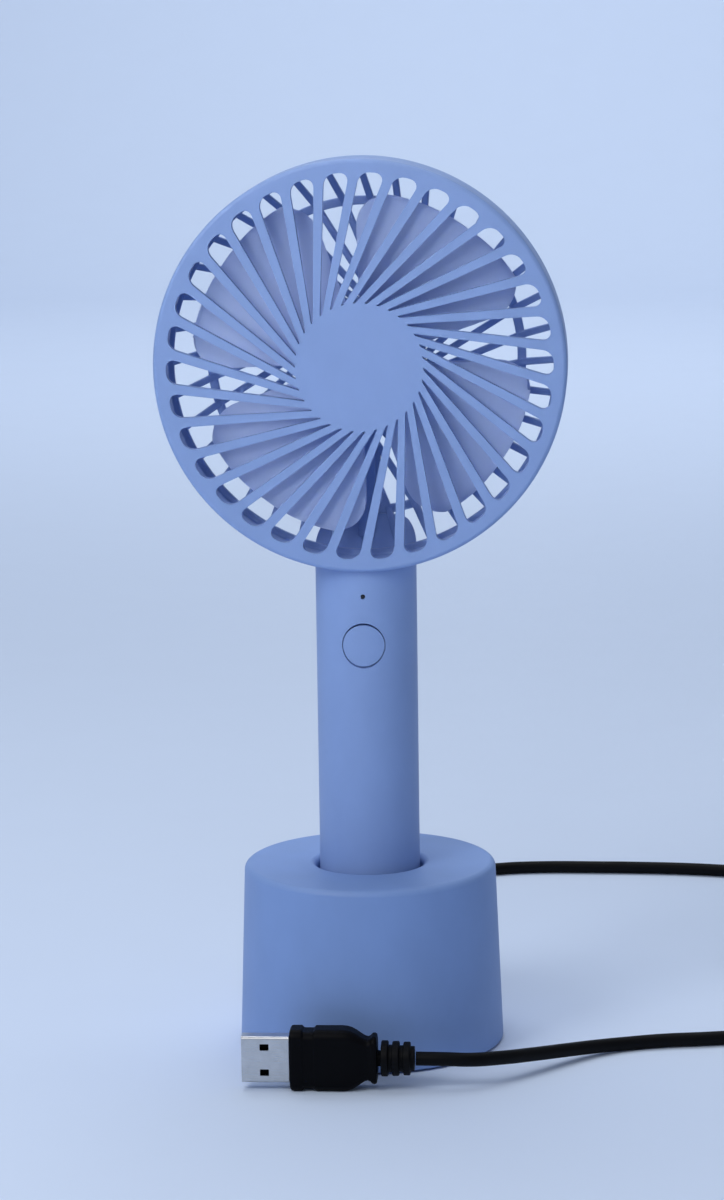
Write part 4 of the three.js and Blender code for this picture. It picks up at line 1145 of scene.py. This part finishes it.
@dataclass
class RearHousing:
    """The rear moulding: side wall, caged back with bent bars, strut, neck and spigot."""

    place: Layout
    wall: float = 2.0
    bars: int = 36
    first_bar: float = 21.8
    offset: float = 10.0
    bar_width: float = 1.8
    bar_depth: float = 2.0
    ring_radius: float = 40.4
    ring_width: float = 2.3
    disc_radius: float = 13.2
    screw_circle: float = 8.6
    screws: int = 3
    hood_wall: float = 0.6
    hood_height: float = 1.9
    hood_top: float = -14.9
    hood_top_height: float = 4.5
    wire_room: float = 1.5
    spigot_radius: float = 11.1
    spigot_wall: float = 2.2
    spigot_length: float = 4.4
    spigot_front_y: float = -3.1

    def reach(self, radius: float) -> float:
        """Gives how far along a bar a circle is met."""
        return math.sqrt(radius ** 2 - self.offset ** 2)

    def bar(self, index: int) -> Solid:
        """Builds one bent bar in its place round the cage."""
        back, rim = self.place.cage_back_y - 0.12, self.place.rim_back_y - 0.1
        depth = self.bar_depth - 0.12
        inner, bend = self.reach(self.disc_radius - 1), self.reach(self.ring_radius)
        outer = self.reach(self.place.head_radius - self.wall - 0.6)
        outline = rounded([(inner, back - depth, 0), (bend - 0.4, back - depth, 2.0),
                           (outer, rim - self.bar_depth, 0), (outer, rim, 0), (bend + 0.9, back, 3.0),
                           (inner, back, 0)])
        form = prism(outline, -self.offset - self.bar_width / 2, -self.offset + self.bar_width / 2, Axis.Z)
        return Solid(bevelled(form, 0.5, 3)).turned(self.first_bar + 360 * index / self.bars)

    def neck(self) -> Solid:
        """Builds the neck, which stands on the handle and closes the bottom of the cage."""
        low = self.place.neck_low
        high = -(self.ring_radius + self.ring_width / 2) + 0.4
        radius = self.place.handle_radius
        column = Solid(rod(radius, low, high, Axis.Z, 96, soft=(0.25, 1.2)))
        rim_inner = self.place.head_radius - self.wall
        front, back = self.place.rim_back_y - self.bar_depth, self.place.cage_back_y - self.bar_depth
        cavity = Solid(turned([(0, -FAR), (rim_inner, -FAR), (rim_inner, front), (self.ring_radius, back),
                               (0, back)]))
        ahead = Solid(block((-FAR, -FAR, -FAR), (FAR, self.place.ring_back_y + 0.3, FAR)))
        return column.without(cavity, ahead)

    def spigot(self) -> Solid:
        """Builds the collar that the neck pushes into the handle, open at the front for the board."""
        low, high = self.place.neck_low - self.spigot_length, self.place.neck_low + 0.6
        radii = (self.spigot_radius - self.spigot_wall, self.spigot_radius)
        ring = Solid(collar(radii, low, high, (0.3, 0.5, 0, 0), Axis.Z, 72))
        return ring.without(Solid(block((-FAR, -FAR, low - 1), (FAR, self.spigot_front_y, high - 0.6))))

    def disc(self) -> Solid:
        """Builds the back's middle disc."""
        back, front = self.place.cage_back_y, self.place.cage_back_y - self.bar_depth
        return Solid(rod(self.disc_radius, front, back, Axis.Y, 96, soft=(0.3, 0.8)))

    def screw_hole(self, index: int) -> Solid:
        """Builds what is cut away for one counterbored screw."""
        back = self.place.cage_back_y
        hole = Solid(stepped(1.25, 0, back - 1.5, 2.3, back + 5, Axis.Y))
        return hole.moved(x=self.screw_circle).turned(90 + 360 * index / self.screws)

    def hood(self, inset: float) -> Solid:
        """Builds the hood over the wires, which follows the strut from the hub to the neck.

        Args:
            inset: 0 for its outside, or its wall for the room inside it.

        Returns:
            The hood or its room.
        """
        strut_face = self.place.cage_back_y - self.bar_depth
        face, hub_face = strut_face - self.hood_height + inset, strut_face - self.hood_top_height + inset
        top, low = self.hood_top, -(self.ring_radius + self.ring_width / 2)
        beyond = 1.0 if inset else 0.0
        soft = 0.0 if inset else 0.8
        half = self.wire_room + self.hood_wall - inset
        outline = rounded([
            (strut_face + 0.4, top + beyond, 0), (hub_face, top + beyond, soft),
            (hub_face, top, 0), (face, top - 4.6, 2.0), (face, low + 9.3, 3.0),
            (face - 2.2, low + 2.9, 3.0), (face - 5.3, low - 0.6, 2.0), (face - 5.3, low - 5.4 + inset, 0),
            (strut_face + 0.4, low - 5.4 + inset, 0)])
        form = prism(outline, -half, half, Axis.X)
        return Solid(form if inset else bevelled(form, 0.3, 3))

    def build(self) -> None:
        """Builds the housing."""
        place = self.place
        rim_inner, back = place.head_radius - self.wall, place.rim_back_y
        front = place.ring_back_y + 0.12
        rim_width, rim_depth = 1.7, 1.9
        housing = Solid(turned(rounded([
            (rim_inner, front, 0.2), (place.head_radius, front, 0.3), (place.head_radius, back, 1.2),
            (rim_inner - rim_width, back, 0.5), (rim_inner - rim_width, back - rim_depth, 0.3),
            (rim_inner, back - rim_depth, 0.6)]), steps=180))
        ring_low, ring_high = place.cage_back_y - self.bar_depth, place.cage_back_y
        radii = (self.ring_radius - self.ring_width / 2, self.ring_radius + self.ring_width / 2)
        ring = Solid(collar(radii, ring_low, ring_high, (0.3, 0.3, 0.7, 0.7), steps=144))
        strut_top, strut_foot, strut_z = 2.3, 4.3, 1 - self.disc_radius
        strut_form = prism([(-strut_top, strut_z), (-strut_foot, -self.ring_radius),
                            (strut_foot, -self.ring_radius), (strut_top, strut_z)],
                           ring_low + 0.05, ring_high - 0.05)
        groove = Solid(block((-self.wire_room, ring_low - 1, 6 - self.ring_radius),
                             (self.wire_room, ring_low + 0.8, -self.disc_radius - 1)))
        strut = Solid(bevelled(strut_form, 0.4, 3)).without(groove)
        parts = [ring, self.disc(), strut, self.hood(0), self.neck(), self.spigot()]
        housing.joined(*parts, *repeated(self.bars, self.bar)).without(self.hood(self.hood_wall))
        # The hole for the wires starts inside the hood, so that it can't be seen from outside.
        wires = Solid(block((-self.wire_room, 4.0, place.neck_low - 8),
                            (self.wire_room, 7.0, -5.9 - self.ring_radius)))
        housing.without(wires, *repeated(self.screws, self.screw_hole)).moved(z=place.head_z)
        dressed(housing, "housing_rear", SHELL, "fan", ["rear_housing", "rear_grille"])


@dataclass
class Impeller:
    """The four-bladed wheel with its hub cup."""

    place: Layout
    blades: int = 4
    first_blade: float = 55.0
    span: float = 73.0
    tip_radius: float = 43.5
    corner: float = 9.0
    thickness: float = 1.5
    pitch: float = 8.0
    camber: float = 0.9
    middle_y: float = -2.6
    hub_radius: float = 14.5
    hub_wall: float = 1.2
    hub_front: float = -11.0
    hub_back: float = 2.5

    def blade(self, index: int) -> Solid:
        """Bends a grid into one cambered blade and gives it its thickness."""
        form = bmesh.new()
        bmesh.ops.create_grid(form, x_segments=36, y_segments=28, size=1)
        root = self.hub_radius - self.hub_wall / 2
        for point in form.verts:
            side, share = point.co.x, (point.co.y + 1) / 2
            radius = root + (self.tip_radius - root) * math.sin(share * math.pi / 2) ** 0.9
            to_tip = max(0.0, radius - (self.tip_radius - self.corner))
            lost = self.corner - math.sqrt(self.corner ** 2 - min(to_tip, 8.95) ** 2)
            half = math.radians(self.span / 2) - lost / radius
            rise = side * self.pitch / 2 - self.camber * (1 - side * side)
            point.co = (radius * math.cos(side * half), self.middle_y + rise, -radius * math.sin(side * half))
        bmesh.ops.recalc_face_normals(form, faces=form.faces[:])
        bmesh.ops.solidify(form, geom=form.faces[:], thickness=self.thickness)
        bmesh.ops.translate(form, verts=form.verts[:], vec=(0, self.thickness / 2, 0))
        bmesh.ops.recalc_face_normals(form, faces=form.faces[:])
        bevelled(form, 0.5, 3)
        return Solid(form).turned(self.first_blade + 360 * index / self.blades)

    def build(self) -> None:
        """Builds the wheel."""
        inner, front, back = self.hub_radius - self.hub_wall, self.hub_front, self.hub_back
        deck, boss, bore = front + 1.6, 3.0, 1.55
        boss_back, bore_front = front + 4.4, front + 0.6
        cup = Solid(turned(rounded([
            (0, front, 0), (self.hub_radius, front, 2.0), (self.hub_radius, back, 0.4), (inner, back, 0.4),
            (inner, deck, 0.6), (boss, deck, 0.4), (boss, boss_back, 0.3), (bore, boss_back, 0),
            (bore, bore_front, 0), (0, bore_front, 0)], closed=False)))
        room = Solid(rod(inner, deck, 20, Axis.Y, 96))
        blades = [blade.without(room.copy()) for blade in repeated(self.blades, self.blade)]
        bpy.data.objects.remove(room.thing)
        cup.joined(*blades).moved(z=self.place.head_z)
        # The wheel's colour carries painted light: it is lighter than its real plastic, to offset the shade
        # inside the cage.
        dressed(cup, "impeller_wheel", IMPELLER_PAINTED_LIGHT, "rotor", ["impeller"], crease=38)


# ---------------------------------------------------------------- handle
@dataclass
class Handle:
    """The grip: two half shells, the push button, the light pipe's end and the end cap with its pads."""

    place: Layout
    wall: float = 1.7
    seam: float = 0.06
    button_radius: float = 5.35
    button_gap: float = 0.22
    screw_circle: float = 9.8
    bore_radius: float = 1.2

    def shell(self, front: bool) -> Solid:
        """Builds one half shell.

        Args:
            front: Whether it is the half with the button.

        Returns:
            The half shell.
        """
        place = self.place
        tube = collar((place.handle_radius - self.wall, place.handle_radius), place.shell_low,
                      place.handle_top, (0.2, 0.25, 0.15, 0.15), Axis.Z, 128)
        screw_y = -self.screw_circle if front else self.screw_circle
        cell_low = extent("battery_cell")[0].z
        post = Solid(rod(2.2, place.shell_low + 0.3, cell_low - 1.3)).moved(y=screw_y)
        bore = Solid(rod(self.bore_radius, 0, cell_low)).moved(y=screw_y)
        half = (block((-FAR, -self.seam, -FAR), (FAR, FAR, FAR)) if front
                else block((-FAR, -FAR, -FAR), (FAR, self.seam, FAR)))
        scoop = Solid(rod(place.head_radius + 0.15, -FAR, FAR, Axis.Y, 180)).moved(z=place.head_z)
        shell = Solid(tube).joined(post).without(bore, Solid(half), scoop)
        if front:
            hole = self.button_radius + self.button_gap
            mouth = place.handle_radius
            press = turned([(0, -mouth - 3), (hole + 0.35, -mouth - 3), (hole + 0.35, -mouth + 0.05),
                            (hole, -mouth + 1.0), (hole, 0), (0, 0)], Axis.Y, 96)
            light = turned([(0, -30), (0.75, -30), (0.62, -mouth + 0.25), (0.62, 0), (0, 0)], Axis.Y, 32)
            shell.without(Solid(press).moved(z=middle_of("button_cap").z),
                          Solid(light).moved(z=middle_of("light_pipe").z))
        return shell

    def button(self) -> Solid:
        """Builds the button, whose face follows the handle's round front."""
        low, high = extent("button_cap")
        back, seat = high.y, low.y + 4.0
        cap = Solid(rod(self.button_radius, low.y - 3, seat, Axis.Y, 96))
        round_front = Solid(rod(self.place.handle_radius - 0.04, -20, 20, Axis.Z, 192))
        cap.combine(Combine.KEEP, [round_front])
        form = bmesh.new()
        form.from_mesh(cap.thing.data)
        bpy.data.objects.remove(cap.thing)
        bevelled(form, 0.22, 3, lambda edge: edge.verts[0].co.y < seat - 0.5)
        flange = Solid(turned(rounded([(0, seat - 0.4, 0), (6.2, seat - 0.4, 0.1), (6.2, seat + 0.3, 0.1),
                                       (1.5, seat + 0.3, 0.2), (1.5, back, 0.2), (0, back, 0)], closed=False),
                              Axis.Y, 64))
        return Solid(form).joined(flange).moved(z=middle_of("button_cap").z)

    def end_cap(self) -> Solid:
        """Builds the end cap, with its collar, two pad recesses and two screw holes."""
        place = self.place
        low, top, radius = place.handle_low, place.cap_top, place.handle_radius
        inner = radius - self.wall - 0.3
        cap = Solid(rod(radius, low, top, Axis.Z, 128, soft=(1.0, 0.2)))
        rim = Solid(collar((inner - 1.2, inner), top - 0.5, top + 2.6, (0, 0, 0.4, 0.2), Axis.Z, 96))
        rooms = [Solid(block((-2.5, near, top), (2.5, far, top + 10))) for near, far in ((-20, -4), (4, 20))]
        rim.without(*rooms)
        pads = [Solid(rod(3.2, 0, low + 1.0, steps=48)).moved(x=side * PAD_X) for side in SIDES]
        holes = [Solid(stepped(2.1, 0, low + 1.2, self.bore_radius, top + 1))
                 .moved(y=side * self.screw_circle) for side in SIDES]
        return cap.joined(rim).without(*pads, *holes)

    def build(self) -> None:
        """Builds the handle's pieces."""
        dressed(self.shell(True), "grip_front", SHELL, "fan", ["handle_front_shell"])
        dressed(self.shell(False), "grip_rear", SHELL, "fan", ["handle_rear_shell"])
        dressed(self.button(), "push_button", SHELL, "button", ["button_cap"])
        dressed(self.end_cap(), "end_cap", SHELL, "fan", ["handle_end_cap"])
        low, high = extent("light_pipe")
        tip, shoulder = low.y + 0.35, high.y - 2
        guide = turned(rounded([(0, tip, 0), (0.5, tip, 0.3), (0.5, shoulder, 0.1), (1.2, shoulder, 0.1),
                                (1.2, high.y, 0.1), (0, high.y, 0)], closed=False), Axis.Y, 32)
        dressed(Solid(guide).moved(z=middle_of("light_pipe").z), "light_guide", CLEAR, "fan", ["light_pipe"])
        for side in ("left", "right"):
            node = f"charge_pad_{side}"
            low, high = extent(node)
            pad = Solid(rod(2.98, low.z, high.z, Axis.Z, 48, soft=(0.25, 0.1))).moved(x=middle_of(node).x)
            dressed(pad, f"contact_pad_{side}", GOLD, "fan", [node])


# ---------------------------------------------------------------- dock
@dataclass
class Dock:
    """The charging dock: shell with the well, base plate and rubber feet."""

    place: Layout
    top_radius: float = 32.9
    wall: float = 2.2
    well_radius: float = 14.0
    well_floor: float = 14.0
    well_bottom: float = 12.2
    deck: float = 2.5
    top_edge: float = 1.7
    lip: float = 1.8
    boss_circle: float = 25.0
    plug_half_width: float = 5.6
    bore_radius: float = 1.4
    pin_hole_radius: float = 1.2
    feet: int = 3

    def inner(self, height: float) -> float:
        """Gives the shell's inner radius at a height."""
        share = (height - self.place.dock_low) / (self.place.dock_top - self.place.dock_low)
        outer = self.place.dock_foot_radius + (self.top_radius - self.place.dock_foot_radius) * share
        return outer - self.wall

    def shell(self) -> Solid:
        """Builds the shell, with bosses, pin holes and the plug's opening."""
        low, top = self.place.dock_low, self.place.dock_top
        deck_z = top - self.deck
        well_outer = self.well_radius + 2.0
        profile = rounded([
            (0, self.well_bottom, 0), (well_outer, self.well_bottom, 0.6), (well_outer, deck_z, 0.8),
            (self.inner(deck_z), deck_z, 1.0), (self.inner(low), low, 0.2),
            (self.place.dock_foot_radius, low, 0.4), (self.top_radius, top, self.top_edge),
            (self.well_radius, top, self.lip), (self.well_radius, self.well_floor, 0.6),
            (0, self.well_floor, 0)], closed=False, steps=7)
        shell = Solid(turned(profile, Axis.Z, 180))
        posts, bores = [], []
        for side in SIDES:
            post = Solid(stepped(4.0, 2.9, 12.1, 2.6, deck_z + 0.5))
            posts.append(post.moved(x=side * self.boss_circle))
            bores.append(Solid(rod(self.bore_radius, 0, 10.5)).moved(x=side * self.boss_circle))
        pins = [Solid(rod(self.pin_hole_radius, 0, 30)).moved(x=side * PAD_X) for side in SIDES]
        plug_low, plug_high = extent("micro_plug_body")
        half = (plug_high.z - plug_low.z) / 2 + 0.3
        mouth = Solid(prism(rounded_box(self.plug_half_width, half, 1.9), well_outer + 2, 60))
        mouth.moved(z=middle_of("micro_plug_body").z)
        return shell.joined(*posts).without(*bores, *pins, mouth)

    def base_plate(self) -> Solid:
        """Builds the base plate, with foot recesses, screw seats and board posts."""
        low, high = extent("dock_base_plate")
        top = low.z + 2.0
        radius = (high.x - low.x) / 2
        plate = Solid(rod(radius, low.z, top, Axis.Z, 144, soft=(0.5, 0.2)))
        posts = [Solid(rod(2, top - 0.5, high.z)).moved(side * 7, 5) for side in SIDES]
        recesses = [Solid(rod(4.25, -1, 1.5, steps=48)).moved(*middle_of(f"rubber_foot_{index + 1}").xy)
                    for index in range(self.feet)]
        seats = [Solid(stepped(2.9, -1, low.z + 1.7, self.bore_radius, 10)).moved(x=side * self.boss_circle)
                 for side in SIDES]
        return plate.joined(*posts).without(*recesses, *seats)

    def build(self) -> None:
        """Builds the dock's pieces."""
        dressed(self.shell(), "dock_housing", DOCK, "dock", ["dock_shell"])
        dressed(self.base_plate(), "dock_base", DOCK, "dock", ["dock_base_plate"])
        for index in range(self.feet):
            node = f"rubber_foot_{index + 1}"
            low, high = extent(node)
            foot = turned(rounded([(0, low.z, 0), (3.1, low.z, 0.3), (3.4, low.z + 0.3, 0.2),
                                   (3.98, low.z + 0.5, 0.2), (3.98, high.z, 0.15), (0, high.z, 0)],
                                  closed=False), Axis.Z, 48)
            dressed(Solid(foot).moved(*middle_of(node).xy), f"dock_foot_{index + 1}", FOOT, "dock", [node])


# ---------------------------------------------------------------- fasteners
@dataclass
class Screw:
    """A pan-headed screw with a cross recess. Its head's underside is at zero and its shank points up."""

    head_radius: float
    head_height: float
    radius: float
    length: float
    pitch: float = 0.8

    def solid(self) -> Solid:
        """Turns the screw and cuts its recess."""
        threads = int((self.length - 1.2) / self.pitch)
        core, height = self.radius * 0.8, self.head_height
        outline: list[Corner] = [(0, -height, 0), (self.head_radius, -height, height * 0.6),
                                 (self.head_radius, 0, 0.1), (core, 0, 0)]
        for turn in range(threads):
            start = 0.5 + turn * self.pitch
            outline += [(core, start, 0), (self.radius, start + 0.3 * self.pitch, 0),
                        (core, start + 0.6 * self.pitch, 0)]
        outline += [(self.radius * 0.7, self.length - 0.5, 0), (0, self.length, 0)]
        body = Solid(turned(rounded(outline, closed=False), Axis.Z, 40))
        arm, slot = self.head_radius * 0.55, 0.24
        top, floor = -height - 1, -height * 0.45
        return body.without(Solid(block((-arm, -slot, top), (arm, slot, floor))),
                            Solid(block((-slot, -arm, top), (slot, arm, floor))))


def fit_fasteners(place: Layout) -> None:
    """Builds every screw in its place.

    Args:
        place: The shared places; not used.
    """
    for name in ("dock_screw_left", "dock_screw_right", "cap_screw_front", "cap_screw_rear"):
        low, high = extent(name)
        on_dock = name.startswith("dock")
        # These screws' heads are as high as their threads' radius.
        head = 1.1 if on_dock else 0.9
        screw = Screw((high.x - low.x) / 2, head, head, high.z - low.z - head)
        solid = screw.solid().moved(*middle_of(name).xy, low.z + head)
        dressed(solid, f"{name}_turned", STEEL, "dock" if on_dock else "fan", [name])
    for index in range(3):
        node = f"motor_screw_{index + 1}"
        low, high = extent(node)
        head = 1.2
        solid = Screw(2.0, head, 0.95, high.y - low.y - head).solid().turned(-90, Axis.X)
        solid.thing.data.transform(Matrix.Scale(-1, 4, (0, 1, 0)))
        solid.thing.data.flip_normals()
        x, _, z = middle_of(node)
        solid.moved(x, high.y - head, z)
        dressed(solid, f"{node}_turned", STEEL, "fan", [node])


@dataclass
class PinSpring:
    """The coil spring under one of the dock's contact pins, which shortens as the pin goes down."""

    side: str
    turns: int = 4
    turn_steps: int = 32
    wire: float = 0.16
    travel: float = 1.0

    def build(self) -> None:
        """Winds the spring in its place and gives it a mesh of its own."""
        node = f"pogo_spring_{self.side}"
        low, high = extent(node)
        steps = self.turns * self.turn_steps
        height = high.z - low.z - 2 * self.wire
        form = bmesh.new()
        ring = bmesh.ops.create_circle(form, segments=10, radius=self.wire)["verts"]
        bmesh.ops.rotate(form, verts=ring, matrix=Matrix.Rotation(math.radians(90), 3, "X"))
        bmesh.ops.translate(form, verts=ring, vec=((high.x - low.x) / 2 - self.wire, 0, 0))
        bmesh.ops.spin(form, geom=ring + form.edges[:], cent=(0, 0, 0), axis=(0, 0, 1),
                       dvec=(0, 0, height / steps), angle=self.turns * FULL_TURN, steps=steps,
                       use_merge=False, use_duplicate=False)
        open_edges = [edge for edge in form.edges if edge.is_boundary]
        bmesh.ops.holes_fill(form, edges=open_edges, sides=0)
        middle = (low + high) / 2
        spring = Solid(tidied(form)).moved(middle.x, middle.y, low.z + self.wire)
        piece = dressed(spring, f"pin_spring_{self.side}", STEEL, "dock", [node])
        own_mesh(piece)


# ---------------------------------------------------------------- inner works
INNER_FINISHES: dict[str, Finish] = {
    "rotor_can": STEEL, "magnet_ring": MAGNET, "motor_shaft": STEEL, "shaft_clip": STEEL,
    "motor_bush": BRASS, "stator_core": IRON, "stator_coils": COPPER, "motor_board": BOARD,
    "motor_mount": WHITE, "motor_wire_red": RED_WIRE, "motor_wire_black": BLACK_WIRE,
    "control_board": BOARD, "tact_switch": BLACK, "switch_plunger": WHITE, "battery_cell": SLEEVE,
    "battery_tab_lower": NICKEL, "battery_tab_upper": NICKEL, "dock_ballast": IRON, "dock_board": BOARD,
    "usb_socket": STEEL, "usb_plug_tongue": BLACK, "pogo_barrel_left": BRASS, "pogo_barrel_right": BRASS,
    "pogo_pin_left": GOLD, "pogo_pin_right": GOLD,
}


def dress_inner_works() -> None:
    """Gives the frame's own inner nodes their materials."""
    for name, finish in INNER_FINISHES.items():
        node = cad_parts[name]
        node.material_slots[0].material = finish.material()
        LOG.info("%s: dressed as %s", name, finish.slot)


def main() -> None:
    """Builds the whole scene."""
    logging.basicConfig(level=logging.INFO, format="%(name)s %(message)s")
    place = Layout.read()
    Studio().build()
    Cable().build()
    FrontGrille(place).build()
    RearHousing(place).build()
    Impeller(place).build()
    Handle(place).build()
    Dock(place).build()
    fit_fasteners(place)
    PinSpring("left").build()
    PinSpring("right").build()
    dress_inner_works()
    bpy.context.view_layer.update()


if __name__ == "__main__":
    main()
